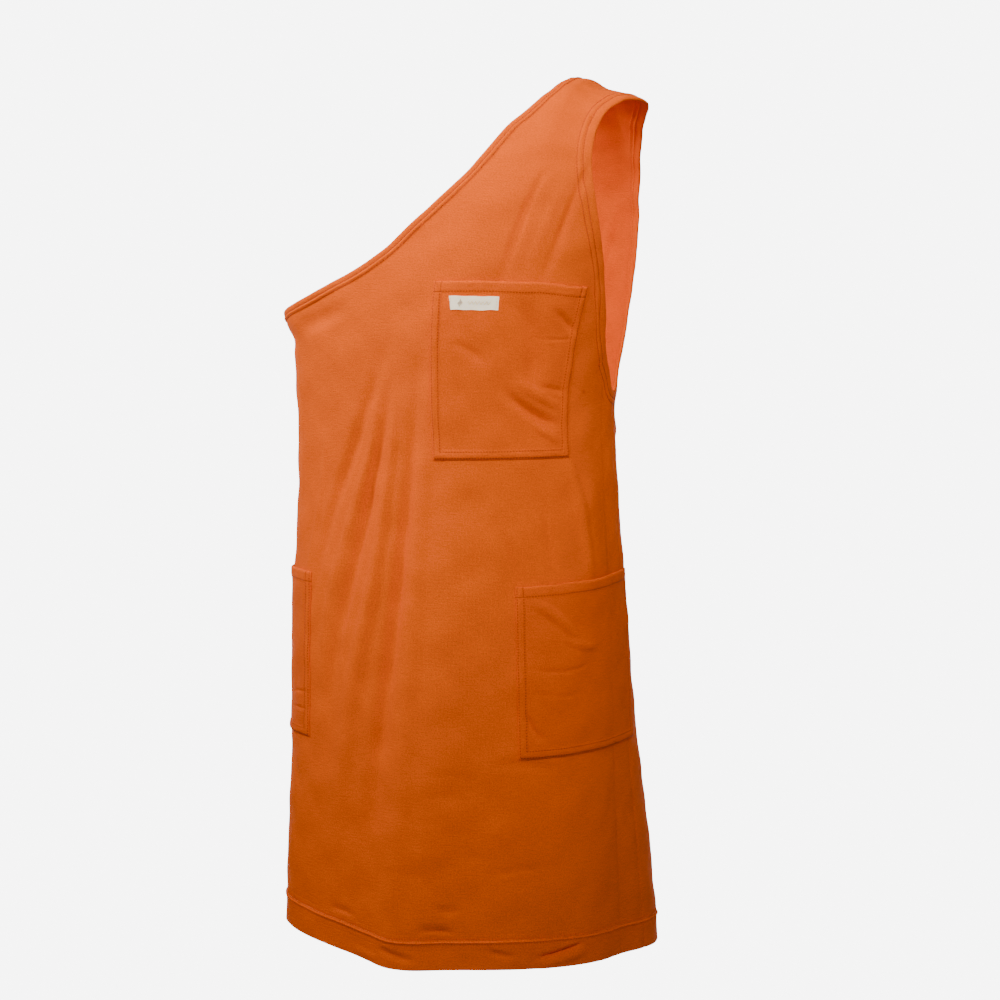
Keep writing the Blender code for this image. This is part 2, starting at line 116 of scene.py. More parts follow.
# The largest soft folds and flares, which the solids have too. A flare keeps its height down to the hem.
# side (-1 front, 1 back), top_turn, top_level, foot_turn, foot_level, half_width, height, flare
FOLDS = (
    (-1, 72.0, 0.020, 88.0, -0.500, 0.022, 0.0040, 1),
    (-1, 12.0, -0.040, 8.0, -0.200, 0.016, 0.0025, 0),
    (-1, 36.0, -0.330, 30.0, -0.500, 0.030, 0.0030, 1),
    (1, 37.0, -0.120, 32.0, -0.500, 0.042, 0.0105, 1),
    (1, 72.0, -0.020, 80.0, -0.500, 0.028, 0.0070, 1),
    (1, 104.0, -0.060, 108.0, -0.500, 0.024, 0.0050, 1),
    (1, 140.0, -0.050, 136.0, -0.500, 0.032, 0.0080, 1),
    (1, 58.0, 0.210, 50.0, 0.060, 0.012, -0.0020, 0),
    (1, 96.0, 0.080, 84.0, -0.080, 0.018, 0.0030, 0),
)
FOLD_RADIUS = 0.14
FOLD_END_SHARE = 0.4
# Long bent folds: the fan from the right breast to the hem, the pulls above the chest pocket, and the back's.
# side, then level, turn_degrees, half_width, height at each point from the top down
DRAPES = (
    (-1, ((0.055, 87.0, 0.008, 0.0), (0.020, 92.0, 0.010, -0.0013), (-0.015, 98.5, 0.010, -0.0027),
          (-0.045, 103.5, 0.010, -0.0032), (-0.075, 109.0, 0.010, -0.0033), (-0.130, 117.5, 0.010, -0.0022),
          (-0.200, 125.0, 0.010, 0.0))),
    (-1, ((0.030, 91.0, 0.007, 0.0), (-0.010, 93.0, 0.007, 0.0013), (-0.047, 96.5, 0.007, 0.0023),
          (-0.081, 101.5, 0.008, 0.0028), (-0.135, 108.5, 0.009, 0.0027), (-0.186, 114.0, 0.010, 0.0019),
          (-0.260, 119.0, 0.010, 0.0))),
    (-1, ((0.015, 87.0, 0.007, 0.0), (-0.023, 90.5, 0.008, -0.0015), (-0.056, 94.5, 0.008, -0.0030),
          (-0.120, 100.5, 0.009, -0.0046), (-0.165, 105.0, 0.010, -0.0041), (-0.210, 109.5, 0.011, -0.0030),
          (-0.340, 116.5, 0.012, 0.0))),
    (-1, ((0.020, 85.2, 0.007, 0.0), (-0.020, 86.4, 0.007, 0.0013), (-0.054, 88.7, 0.007, 0.0027),
          (-0.098, 91.7, 0.008, 0.0040), (-0.168, 95.7, 0.011, 0.0049), (-0.243, 102.2, 0.014, 0.0041),
          (-0.330, 107.7, 0.016, 0.0022), (-0.430, 112.2, 0.016, 0.0))),
    (-1, ((0.050, 76.0, 0.008, 0.0), (0.007, 77.5, 0.009, -0.0010), (-0.042, 80.0, 0.009, -0.0023),
          (-0.086, 82.5, 0.010, -0.0038), (-0.159, 85.5, 0.011, -0.0054), (-0.248, 89.5, 0.012, -0.0051),
          (-0.320, 93.0, 0.013, -0.0035), (-0.430, 98.0, 0.014, 0.0))),
    (-1, ((0.040, 71.5, 0.008, 0.0), (-0.002, 73.0, 0.009, 0.0008), (-0.045, 74.8, 0.010, 0.0012),
          (-0.086, 77.0, 0.012, 0.0019), (-0.195, 80.0, 0.014, 0.0027), (-0.300, 83.0, 0.016, 0.0027),
          (-0.416, 87.0, 0.017, 0.0022), (-0.500, 90.0, 0.018, 0.0016))),
    (-1, ((0.040, 64.0, 0.030, 0.0), (-0.045, 66.0, 0.032, 0.0011), (-0.110, 68.0, 0.036, 0.0024),
          (-0.200, 70.0, 0.040, 0.0032), (-0.300, 72.5, 0.042, 0.0032), (-0.420, 76.0, 0.044, 0.0027),
          (-0.500, 78.5, 0.044, 0.0022))),
    (-1, ((-0.020, 116.0, 0.005, 0.0), (-0.060, 118.5, 0.005, 0.0010), (-0.098, 121.6, 0.006, 0.0014),
          (-0.155, 127.3, 0.007, 0.0008), (-0.210, 131.0, 0.008, 0.0))),
    (-1, ((0.225, 46.5, 0.005, 0.0), (0.190, 48.8, 0.005, -0.0014), (0.155, 50.2, 0.006, -0.0020),
          (0.120, 51.4, 0.006, -0.0015), (0.090, 53.0, 0.007, 0.0))),
    (-1, ((0.262, 35.5, 0.005, 0.0), (0.222, 36.0, 0.006, -0.0014), (0.171, 36.4, 0.007, -0.0028),
          (0.124, 37.8, 0.008, -0.0018), (0.090, 40.0, 0.009, 0.0))),
    (-1, ((0.225, 40.5, 0.006, 0.0), (0.180, 41.6, 0.007, 0.0008), (0.145, 42.6, 0.007, 0.0010),
          (0.100, 44.5, 0.008, 0.0))),
    (1, ((0.190, 52.0, 0.009, 0.0), (0.120, 57.0, 0.010, -0.0022), (0.030, 66.0, 0.011, -0.0032),
         (-0.060, 74.0, 0.012, -0.0024), (-0.180, 80.0, 0.014, 0.0))),
    (1, ((0.080, 90.0, 0.008, 0.0), (0.000, 95.0, 0.010, -0.0024), (-0.090, 98.0, 0.011, -0.0032),
         (-0.220, 97.0, 0.013, -0.0024), (-0.380, 95.0, 0.014, 0.0))),
    (1, ((0.060, 126.0, 0.008, 0.0), (-0.010, 120.0, 0.010, -0.0024), (-0.100, 117.0, 0.011, -0.0032),
         (-0.230, 121.0, 0.013, -0.0028), (-0.400, 123.0, 0.014, 0.0))),
    (1, ((0.020, 66.0, 0.009, 0.0), (-0.080, 62.0, 0.011, -0.0026), (-0.200, 58.0, 0.013, -0.0034),
         (-0.340, 54.0, 0.014, -0.0024), (-0.500, 52.0, 0.015, -0.0010))),
    (1, ((0.060, 146.0, 0.008, 0.0), (-0.040, 151.0, 0.010, -0.0020), (-0.160, 156.0, 0.011, -0.0024),
         (-0.300, 160.0, 0.012, 0.0))),
    (1, ((-0.060, 86.0, 0.009, 0.0), (-0.160, 87.0, 0.011, 0.0018), (-0.300, 88.0, 0.013, 0.0022),
         (-0.500, 88.0, 0.015, 0.0016))),
)
# Step by which a fold's slant is read, and how far its lowest row's values run on below it
SLANT_STEP = 0.002
DRAPE_TAIL = 0.02
# Listed creases: soft troughs (negative) and ridges, each bent through a middle point.
# side, start_turn, start_level, middle_turn, middle_level, end_turn, end_level, half_width, height
CREASES = (
    # Beside the armhole, and below the neckline
    (-1, 23.3, 0.124, 12.2, 0.088, 1.0, 0.044, 0.0070, 0.0015),
    (-1, 131.0, 0.060, 116.0, 0.066, 100.0, 0.082, 0.0120, -0.0020),
    (-1, 214.0, 0.049, 158.0, 0.0485, 116.0, 0.054, 0.0150, -0.0026),
    (-1, 214.0, 0.034, 158.0, 0.0340, 112.0, 0.040, 0.0350, -0.0030),
    (1, 214.0, 0.049, 165.0, 0.0485, 130.0, 0.050, 0.0150, -0.0026),
    (1, 214.0, 0.034, 165.0, 0.0340, 126.0, 0.036, 0.0350, -0.0030),
    # Chest pocket: its long slanting crease with the ridge above, its dip beside the label, small dents
    (-1, 50.0, 0.012, 39.0, -0.012, 24.0, -0.0260, 0.0090, -0.0034),
    (-1, 45.5, 0.018, 34.7, 0.001, 23.5, -0.0100, 0.0065, 0.0016),
    (-1, 38.0, -0.023, 31.4, -0.032, 25.5, -0.0390, 0.0055, 0.0012),
    (-1, 45.5, 0.092, 39.0, 0.045, 36.5, -0.0020, 0.0160, -0.0040),
    (-1, 57.0, 0.080, 52.5, 0.040, 49.5, 0.0050, 0.0120, 0.0014),
    (-1, 34.5, 0.080, 27.2, 0.066, 21.0, 0.0560, 0.0065, -0.0016),
    (-1, 38.0, 0.0510, 30.7, 0.0505, 22.0, 0.0530, 0.0024, -0.0005),
    (-1, 36.5, 0.0110, 31.0, 0.0080, 23.0, 0.0050, 0.0046, -0.0010),
    (-1, 67.0, 0.049, 60.0, 0.040, 54.0, 0.0270, 0.0070, -0.0010),
    (-1, 66.0, 0.020, 60.0, -0.005, 56.0, -0.0300, 0.0100, -0.0008),
    # Left side, above its pocket and on it
    (-1, 50.5, -0.112, 47.0, -0.138, 43.6, -0.170, 0.0055, -0.0018),
    (-1, 35.0, -0.080, 32.6, -0.126, 30.3, -0.170, 0.0075, -0.0016),
    (-1, 27.0, -0.030, 17.5, -0.100, 13.0, -0.175, 0.0110, 0.0024),
    (-1, 43.5, -0.172, 30.8, -0.189, 17.0, -0.223, 0.0070, 0.0018),
    (-1, 45.5, -0.2300, 32.6, -0.2365, 13.0, -0.2290, 0.0040, -0.0007),
    (-1, 42.0, -0.2530, 29.9, -0.2575, 17.0, -0.2560, 0.0038, -0.0004),
    (-1, 43.8, -0.268, 40.2, -0.285, 36.0, -0.299, 0.0060, -0.0018),
    (-1, 30.0, -0.205, 22.0, -0.214, 9.0, -0.216, 0.0055, 0.0012),
    # Lower front: faint level ripples, a slanting line and dents at the hem
    (-1, 58.0, -0.318, 45.2, -0.315, 27.0, -0.327, 0.0060, -0.0010),
    (-1, 60.0, -0.4150, 45.5, -0.405, 32.0, -0.4035, 0.0028, -0.0010),
    (-1, 73.5, -0.4395, 69.2, -0.4440, 65.0, -0.4400, 0.0038, -0.0020),
    (-1, 79.0, -0.4640, 72.8, -0.4615, 66.0, -0.4625, 0.0038, -0.0020),
    (-1, 113.0, -0.4545, 106.7, -0.4560, 101.0, -0.4595, 0.0042, -0.0018),
    (-1, 57.5, -0.4755, 52.7, -0.4790, 47.5, -0.4800, 0.0042, -0.0018),
    (-1, 44.5, -0.4835, 36.5, -0.4795, 23.0, -0.4715, 0.0034, -0.0034),
    (-1, 43.0, -0.4890, 35.0, -0.4855, 21.0, -0.4780, 0.0048, 0.0020),
    (-1, 93.0, -0.4810, 85.7, -0.4870, 78.0, -0.4905, 0.0055, -0.0018),
    (-1, 104.0, -0.4860, 98.0, -0.4900, 91.0, -0.4930, 0.0050, 0.0012),
    (-1, 80.5, -0.3490, 71.0, -0.3450, 59.5, -0.3480, 0.0034, -0.0003),
    (-1, 84.0, -0.3650, 74.3, -0.3675, 64.5, -0.3600, 0.0032, -0.0003),
    (-1, 72.5, -0.3815, 63.2, -0.3770, 53.5, -0.3820, 0.0034, -0.0003),
    (-1, 85.5, -0.3930, 75.8, -0.3885, 65.0, -0.3940, 0.0032, -0.0003),
    (-1, 79.0, -0.3310, 67.7, -0.3260, 56.5, -0.3310, 0.0036, -0.0005),
    (-1, 68.0, -0.4000, 61.7, -0.3950, 53.5, -0.4000, 0.0030, -0.0003),
    (-1, 100.0, -0.3700, 92.0, -0.3760, 84.0, -0.3740, 0.0034, -0.0005),
    (-1, 96.0, -0.4180, 86.0, -0.4140, 74.0, -0.4170, 0.0034, -0.0005),
    (-1, 149.0, -0.320, 136.0, -0.336, 127.0, -0.364, 0.0075, -0.0014),
    (-1, 140.0, -0.2825, 131.0, -0.2820, 123.5, -0.2820, 0.0028, -0.0008),
    (-1, 140.0, -0.2690, 131.0, -0.2670, 123.5, -0.2660, 0.0030, -0.0008),
    # Back: hollows under the arms, level pulls at the waist, and dents at the hem
    (1, 26.0, 0.010, 36.0, -0.015, 51.0, -0.033, 0.0070, -0.0020),
    (1, 22.0, -0.014, 34.0, -0.040, 50.0, -0.058, 0.0065, 0.0014),
    (1, 58.0, -0.030, 78.0, -0.042, 98.0, -0.036, 0.0055, -0.0012),
    (1, 73.0, -0.055, 92.0, -0.064, 114.0, -0.058, 0.0050, -0.0010),
    (1, 66.0, -0.447, 70.0, -0.450, 75.5, -0.446, 0.0040, -0.0018),
    (1, 111.5, -0.460, 117.0, -0.463, 123.5, -0.459, 0.0040, -0.0018),
    (1, 91.5, -0.480, 98.0, -0.483, 105.0, -0.480, 0.0044, -0.0018),
    (1, 44.0, -0.380, 56.0, -0.384, 69.0, -0.379, 0.0034, -0.0006),
    (1, 83.0, -0.400, 96.0, -0.396, 107.0, -0.401, 0.0032, -0.0006),
    (1, 60.0, -0.350, 72.0, -0.346, 86.0, -0.351, 0.0034, -0.0005),
)
CREASE_END_SHARE = 0.35
# Slow unevenness of worn jersey, as waves along a heading.
# wavelength, heading_degrees, start_degrees, height
UNEVENNESS = (
    (0.083, 12.0, 20.0, 0.00036), (0.061, 77.0, 110.0, 0.00024), (0.044, 116.0, 250.0, 0.00020),
    (0.037, 41.0, 310.0, 0.00018), (0.029, 70.0, 75.0, 0.00011), (0.023, 138.0, 190.0, 0.00010),
)
# Sine of the turn from a side seam within which the unevenness dies out
CALM_SINE = 0.15
# Length below the shoulder line over which it comes in
RIDGE_CALM = 0.05

# Patch pockets by their corners: two turns at the mouth, two at the foot, and the levels there.
# mouth_first_turn, mouth_last_turn, foot_first_turn, foot_last_turn,
# mouth_first_level, mouth_last_level, foot_first_level, foot_last_level, columns, rows, mouth_lift
POCKETS = {
    "chest_pocket": (72.3, 20.8, 72.3, 22.7, 0.0998, 0.1014, -0.054, -0.052, 120, 140, 0.0004),
    "left_side_pocket": (46.0, -20.0, 45.5, -19.0, -0.1625, -0.1535, -0.3110, -0.3060, 150, 140, 0.0020),
    "right_side_pocket": (190.5, 124.5, 190.5, 124.0, -0.1560, -0.1575, -0.3060, -0.3065, 150, 140, 0.0006),
}
POCKET_LIFT_SHARE = 0.3
LABEL_TURNS = (67.0, 51.9)
LABEL_LEVELS = (0.0745, 0.0865)
# The label's mark: the lozenge's middle turn, half width and thread rows, and the zigzag's turns and height
LOZENGE_TURN, LOZENGE_HALF, LOZENGE_ROWS, LOZENGE_STEP = 63.4, 0.0022, 4, 0.0007
ZIGZAG_TURNS = (61.0, 54.2)
ZIGZAG_HEIGHT, ZIGZAG_TEETH = 0.0014, 6.0
MARK_PITCH = 0.0011

# Grid sizes of the cloth: columns across a panel, those that end at the neckline, rows of body and strap
PANEL_COLUMNS = 164
UNDERARM_COLUMNS = 32
BODY_ROWS = 150
STRAP_ROWS = 96
UNDERARM_SHARE = 0.20
STRAP_CROWDING = 1.3
EDGE_SAMPLES = 600
BINDING_CELL = 0.0010
SEAM_CELL = 0.0006

# Distances of the needle rows: from an opening's edge, from a pocket's edges, and from the hem ridge's middle
NECK_NEEDLES = (0.0052, 0.0088)
ARMHOLE_NEEDLES = (0.0075, 0.0125)
POCKET_NEEDLES = (0.0015, 0.0070)
HEM_NEEDLES = (-0.0020, 0.0020)

# Relief of the cloth and its sewing: heights and lengths in metres, and shares
LAID_GAP = 0.0002
BINDING_OVERLAP = 0.0002
NEEDLE_SINK = 0.0002
GROOVE_HALF = 0.0009
HEM_STEP, HEM_DOUBLE_SHARE = 0.003, 0.9
HEM_DIP, HEM_DIP_HALF = 0.0009, 0.0085
HEM_BAND, HEM_BAND_ROWS, HEM_BAND_GAP = 0.010, 15, 0.002
SIDE_SEAM_DIP, SIDE_SEAM_CELLS = 0.0007, 1.6
HEM_SEAM_HALF, HEM_SEAM_ROWS, HEM_SEAM_WALL = 0.0095, 25, 0.0004
HEM_RIDGE, HEM_RIDGE_HALF, HEM_GROOVE = 0.00120, 0.0019, 0.00025
HEM_GATHER, HEM_GATHER_PLACE = 0.00016, 0.0035
HEM_SINK, HEM_SINK_START, HEM_SINK_RUN = 0.0005, 0.0060, 0.0035
BINDING_INNER_ROUND = 0.0020
BINDING_SWELL, BINDING_EDGE_SWELL = 0.00035, 0.00025
BINDING_GATHER, BINDING_UNEVEN, BINDING_GROOVE = 0.00009, 0.00012, 0.00055
POCKET_ROUND, POCKET_FOOT_ROUND, POCKET_FLAT_SHARE = 0.0019, 0.0034, 0.25
POCKET_STEP, POCKET_RISE = 0.0016, 0.00065
POCKET_GROOVE, POCKET_GATHER, POCKET_SLACK = 0.00055, 0.00009, 0.00018
LABEL_WALL, LABEL_STAND, LABEL_ROUND = 0.0007, 0.0006, 0.0006
LABEL_TURNED, LABEL_TURNED_RISE, LABEL_STITCH_PLACE = 0.0042, 0.0003, 0.0014
LABEL_WAVE, LABEL_GROOVE, LABEL_THREAD_LIFT, MARK_LIFT = 0.00022, 0.00018, 0.0008, 0.00105
THREAD_RUN_SHARE, THREAD_ARCH, THREAD_SINK = 0.86, 0.75, 0.45
# Points along a needle row that stitches are read from
NEEDLE_POINTS = 500
POCKET_WAY_POINTS, POCKET_WAY_CELLS = 160, 80


def hex_colour(text):
    """A colour written as sRGB hex, as linear red, green, blue and alpha.

    Each channel c is c / 12.92 up to 0.04045, and ((c + 0.055) / 1.055) to the power 2.4 above it.
    """
    channels = np.array([int(text[place:place + 2], 16) for place in (1, 3, 5)]) / 255.0
    linear = np.where(channels <= 0.04045, channels / 12.92, ((channels + 0.055) / 1.055)**2.4)
    return (*linear.tolist(), 1.0)


class RobeSizes(bpy.types.PropertyGroup):
    """Sizes of the cloth and its sewing that a maker would change."""

    panel_wall: FloatProperty(name="Panel cloth", description="Thickness of the jersey in the panels",
                              default=0.0013, min=0.0005, max=0.003, unit="LENGTH")
    hem_height: FloatProperty(name="Hem height", description="Height of the turned hem up to its seam",
                              default=0.0240, min=0.010, max=0.040, unit="LENGTH")
    hem_rise: FloatProperty(name="Hem rise", description="How far the doubled hem stands out from the panel",
                            default=0.0005, min=0.0, max=0.002, unit="LENGTH")
    neck_width: FloatProperty(name="Neck binding", description="Width of the strip round the neckline",
                              default=0.0095, min=0.005, max=0.020, unit="LENGTH")
    neck_wall: FloatProperty(name="Neck binding wall", description="Thickness of the folded neck strip",
                             default=0.0029, min=0.001, max=0.005, unit="LENGTH")
    armhole_width: FloatProperty(name="Armhole binding", description="Width of the strip round the armhole",
                                 default=0.0135, min=0.005, max=0.025, unit="LENGTH")
    armhole_wall: FloatProperty(name="Armhole binding wall",
                                description="Thickness of the folded armhole strip",
                                default=0.0025, min=0.001, max=0.005, unit="LENGTH")
    pocket_wall: FloatProperty(name="Pocket cloth", description="Thickness of the jersey in the pockets",
                               default=0.0012, min=0.0005, max=0.003, unit="LENGTH")
    pocket_hem: FloatProperty(name="Pocket hem", description="Height of the turned mouth of each pocket",
                              default=0.0090, min=0.004, max=0.020, unit="LENGTH")
    stitch_pitch: FloatProperty(name="Stitch pitch", description="Distance from one stitch to the next",
                                default=0.0025, min=0.0015, max=0.006, unit="LENGTH")
    thread_width: FloatProperty(name="Thread", description="Thickness of the sewing thread",
                                default=0.00042, min=0.0002, max=0.001, unit="LENGTH")
    crease_share: FloatProperty(name="Creases", description="Share of full height of bent folds and creases",
                                default=1.0, min=0.0, max=2.0, subtype="FACTOR")


class RobeColours(bpy.types.PropertyGroup):
    """Colours of the cloth, thread and label."""

    jersey: FloatVectorProperty(name="Jersey", description="Dyed jersey of the panels",
                                subtype="COLOR", size=4, min=0.0, max=1.0, default=hex_colour("#F05F05"))
    binding: FloatVectorProperty(name="Bindings", description="Dyed jersey of the strips at neck and armhole",
                                 subtype="COLOR", size=4, min=0.0, max=1.0, default=hex_colour("#F16006"))
    pocket: FloatVectorProperty(name="Pockets", description="Dyed jersey of the patch pockets",
                                subtype="COLOR", size=4, min=0.0, max=1.0, default=hex_colour("#EC5C05"))
    thread: FloatVectorProperty(name="Thread", description="Spun sewing thread",
                                subtype="COLOR", size=4, min=0.0, max=1.0, default=hex_colour("#C24A08"))
    hem_thread: FloatVectorProperty(name="Hem thread", description="Dyed sewing thread of the hem's two rows",
                                    subtype="COLOR", size=4, min=0.0, max=1.0, default=hex_colour("#F4772A"))
    mark: FloatVectorProperty(name="Label mark", description="Ochre thread of the mark woven into the label",
                              subtype="COLOR", size=4, min=0.0, max=1.0, default=hex_colour("#7A4408"))
    label: FloatVectorProperty(name="Label", description="Undyed woven label tape",
                               subtype="COLOR", size=4, min=0.0, max=1.0, default=hex_colour("#FFEDCC"))
    floor: FloatVectorProperty(name="Floor", description="Plain pale studio floor",
                               subtype="COLOR", size=4, min=0.0, max=1.0, default=hex_colour("#F4F4F3"))


# Surfaces


def curve(table, at):
    """Smooth cubic through a table's rows, read at positions in its first column.

    Between two rows, with s the share of the way, it is the Hermite cubic
    (2s^3 - 3s^2 + 1) a + (s^3 - 2s^2 + s) a' + (3s^2 - 2s^3) b + (s^3 - s^2) b',
    whose slopes a' and b' are the neighbouring slopes weighted by their distances.
    """
    table = np.asarray(table, float)
    keys, values = table[:, 0], table[:, 1:]
    steps = np.diff(keys)
    slopes = np.diff(values, axis=0) / steps[:, None]
    share = (steps[1:] / (steps[:-1] + steps[1:]))[:, None]
    tangents = np.vstack((slopes[:1], slopes[:-1] * share + slopes[1:] * (1.0 - share), slopes[-1:]))
    at = np.clip(np.asarray(at, float), keys[0], keys[-1])
    row = np.clip(np.searchsorted(keys, at, side="right") - 1, 0, len(keys) - 2)
    width = steps[row][..., None]
    part = (at - keys[row])[..., None] / width
    start = (2.0 * part**3 - 3.0 * part**2 + 1.0) * values[row]
    finish = (3.0 * part**2 - 2.0 * part**3) * values[row + 1]
    leave = (part**3 - 2.0 * part**2 + part) * width * tangents[row]
    arrive = (part**3 - part**2) * width * tangents[row + 1]
    return start + finish + leave + arrive


def smoothstep(value):
    """0 below 0, 1 above 1, and 3 v^2 - 2 v^3 between."""
    value = np.clip(value, 0.0, 1.0)
    return value * value * (3.0 - 2.0 * value)


def quarter_round(share):
    """Height of a rounded edge, 0 at the edge and 1 from a share of 1 on: sqrt(1 - (1 - share)^2)."""
    return np.sqrt(np.maximum(1.0 - (1.0 - np.minimum(share, 1.0))**2, 0.0))


def bump(offset, half_width):
    """A soft ridge across a line: cos^2 of a quarter turn times offset over half width, and 0 outside."""
    return np.cos(np.pi / 2.0 * np.clip(offset / half_width, -1.0, 1.0))**2


def facing_side(turn, path):
    """-1 where a point lies on the front of the body, 1 on its back."""
    return np.where(path > 0.0, 1.0, -1.0) * np.where(np.sin(turn) < 0.0, -1.0, 1.0)


def body_surface(turn, path):
    """The robe without its folds: squared rings, closed over the shoulder by a full, rounded arch.

    A ring's radius is (|cos turn|^n + |sin turn|^n)^(-1/n), with n its squareness. Over the shoulder its
    depth shrinks as cos(lift) sqrt(1 + fullness sin^2(lift)), and its height rises as sin(lift) does.
    """
    turn, path = np.broadcast_arrays(np.asarray(turn, float), np.asarray(path, float))
    level = RIDGE_LEVEL - np.abs(path)
    half_width, front, back, squareness, across = np.moveaxis(curve(BODY_RINGS, level), -1, 0)
    lift = np.maximum(level, 0.0) / ARCH_HEIGHT
    cosine, sine = np.cos(turn), np.abs(np.sin(turn))
    radius = (np.abs(cosine)**squareness + sine**squareness)**(-1.0 / squareness)
    side = facing_side(turn, path)
    offset = across + half_width * cosine * radius
    arch = np.cos(lift) * np.sqrt(1.0 + ARCH_FULLNESS * np.sin(lift)**2)
    y = side * np.where(side < 0.0, front, back) * sine * radius * arch
    ridge = curve(SHOULDER_LINE, offset)[..., 0]
    z = np.where(level < 0.0, level, (ridge + ARMHOLE_DROP) * np.sin(lift)) - ARMHOLE_DROP
    return np.stack((BODY_AXIS_X + offset, y, z), -1)


def slopes_of(surface, turn, path):
    """Derivatives of a surface along its turn and along its path, as central differences."""
    turn_step, path_step = 1e-3, 1.5e-4
    along_turn = (surface(turn + turn_step, path) - surface(turn - turn_step, path)) / (2.0 * turn_step)
    along_path = (surface(turn, path + path_step) - surface(turn, path - path_step)) / (2.0 * path_step)
    return along_turn, along_path


def outward(surface, turn, path):
    """Unit normal of a surface, away from the body: slope along the path cross slope along the turn."""
    along_turn, along_path = slopes_of(surface, turn, path)
    normal = np.cross(along_path, along_turn)
    return normal / np.maximum(np.linalg.norm(normal, axis=-1, keepdims=True), 1e-12)


def fold_height(around, level, side):
    """How far the large folds push the cloth out: cos^2 ridges along slanting lines."""
    total = np.zeros(np.shape(level))
    for fold_side, top_turn, top_level, foot_turn, foot_level, half_width, height, flare in FOLDS:
        part = (top_level - level) / (top_level - foot_level)
        line = np.radians(top_turn + (foot_turn - top_turn) * part)
        ridge = bump((around - line) * FOLD_RADIUS, 2.0 * half_width)
        ends = smoothstep(part / FOLD_END_SHARE) * smoothstep((1.0 - part) / FOLD_END_SHARE)
        run = smoothstep(part) if flare else ends
        total = total + np.where(side == fold_side, height * ridge * run, 0.0)
    return total


def drape_height(around, level, side):
    """Height of the long bent folds: at each level a cos^2 ridge of the turn, width and height read there.

    Its half width is widened by the fold's slant, the length along it over the height it falls.
    """
    total = np.zeros(np.shape(level))
    for drape_side, rows in DRAPES:
        table = np.array(rows)[::-1]
        place = curve(table, level)
        above, below = (curve(table, np.asarray(level) + step)[..., 0] for step in (SLANT_STEP, -SLANT_STEP))
        slant = np.hypot(1.0, np.radians(above - below) * ROUND_RADIUS / (2.0 * SLANT_STEP))
        inside = (level > table[0, 0] - DRAPE_TAIL) & (level < table[-1, 0]) & (side == drape_side)
        offset = (around - np.radians(place[..., 0])) * ROUND_RADIUS
        total = total + np.where(inside, place[..., 2] * bump(offset, place[..., 1] * slant), 0.0)
    return total


def crease_height(around, level, side):
    """Height of the listed creases.

    With t the share of the way along the chord from start to end, a crease's middle line leaves the chord by
    4 t (1 - t) times the middle point's own offset, and its height dies out over both ends.
    """
    total = np.zeros(np.shape(level))
    for row in CREASES:
        points = np.array(row[1:7]).reshape(3, 2) * (np.pi / 180.0 * ROUND_RADIUS, 1.0)
        half_width, height = row[7:]
        chord = points[2] - points[0]
        length = np.hypot(*chord)
        chord /= length
        middle = points[1] - points[0]
        bend = middle[0] * chord[1] - middle[1] * chord[0]
        x, y = around * ROUND_RADIUS - points[0, 0], level - points[0, 1]
        part = (x * chord[0] + y * chord[1]) / length
        offset = x * chord[1] - y * chord[0] - bend * 4.0 * part * (1.0 - part)
        run = smoothstep(part / CREASE_END_SHARE) * smoothstep((1.0 - part) / CREASE_END_SHARE)
        total = total + np.where(side == row[0], height * bump(offset, half_width) * run, 0.0)
    return total


def uneven_height(around, level, side):
    """Slow unevenness: a sum of sines of the distance along each wave's heading, none at the side seams."""
    total = np.zeros(np.shape(level))
    for wavelength, heading, start, height in UNEVENNESS:
        heading = np.radians(heading)
        along = around * ROUND_RADIUS * np.cos(heading) + level * np.sin(heading)
        total = total + height * np.sin(2.0 * np.pi * along / wavelength + np.radians(start) * side)
    return total * smoothstep(np.abs(np.sin(around)) / CALM_SINE)


def cloth_surface(turn, path):
    """Middle of the worn cloth: the body's surface, pushed out by its folds, creases and unevenness."""
    turn, path = np.broadcast_arrays(np.asarray(turn, float), np.asarray(path, float))
    side = facing_side(turn, path)
    level = RIDGE_LEVEL - np.abs(path)
    around = np.arccos(np.clip(np.cos(turn), -1.0, 1.0))
    share = bpy.context.scene.robe_sizes.crease_share
    fade = smoothstep((RIDGE_LEVEL - level) / RIDGE_CALM)
    worn = (drape_height(around, level, side) + crease_height(around, level, side)) * share
    push = fold_height(around, level, side) + worn + uneven_height(around, level, side) * fade
    return body_surface(turn, path) + outward(body_surface, turn, path) * push[..., None]


def lengths_along(points):
    """Distance of each point from the first, along the line through them."""
    return np.concatenate(((0.0,), np.cumsum(np.linalg.norm(np.diff(points, axis=0), axis=1))))


def read_columns(wanted, lengths, values):
    """Each column of the values along a line, read at wanted lengths."""
    return np.stack([np.interp(wanted, lengths, column) for column in values.T], -1)


def read_line(line, fractions):
    """A line of turns and paths, read at fractions of its length on the robe."""
    lengths = lengths_along(body_surface(line[:, 0], line[:, 1]))
    return read_columns(np.asarray(fractions) * lengths[-1], lengths, line)


def half_edge(rows, side):
    """One half of an opening's edge, from its side seam to the shoulder line, finely and evenly sampled."""
    rows = np.array(rows, float)
    knots = np.stack((np.radians(rows[:, 0]), side * (RIDGE_LEVEL - rows[:, 1])), -1)
    keys = lengths_along(body_surface(knots[:, 0], knots[:, 1]))
    fine = curve(np.column_stack((keys, knots)), np.linspace(0.0, keys[-1], 4 * EDGE_SAMPLES))
    return read_line(fine, np.linspace(0.0, 1.0, EDGE_SAMPLES + 1))


def starts_at_left(edge):
    """True for an armhole's edge, which leaves the wearer's left side seam."""
    return abs(edge[0, 0]) < np.pi / 2.0


def from_other_side(edge):
    """An edge's first point, told from the back of the body."""
    turn, path = edge[0]
    return np.array((-turn if starts_at_left(edge) else 2.0 * np.pi - turn, -path))


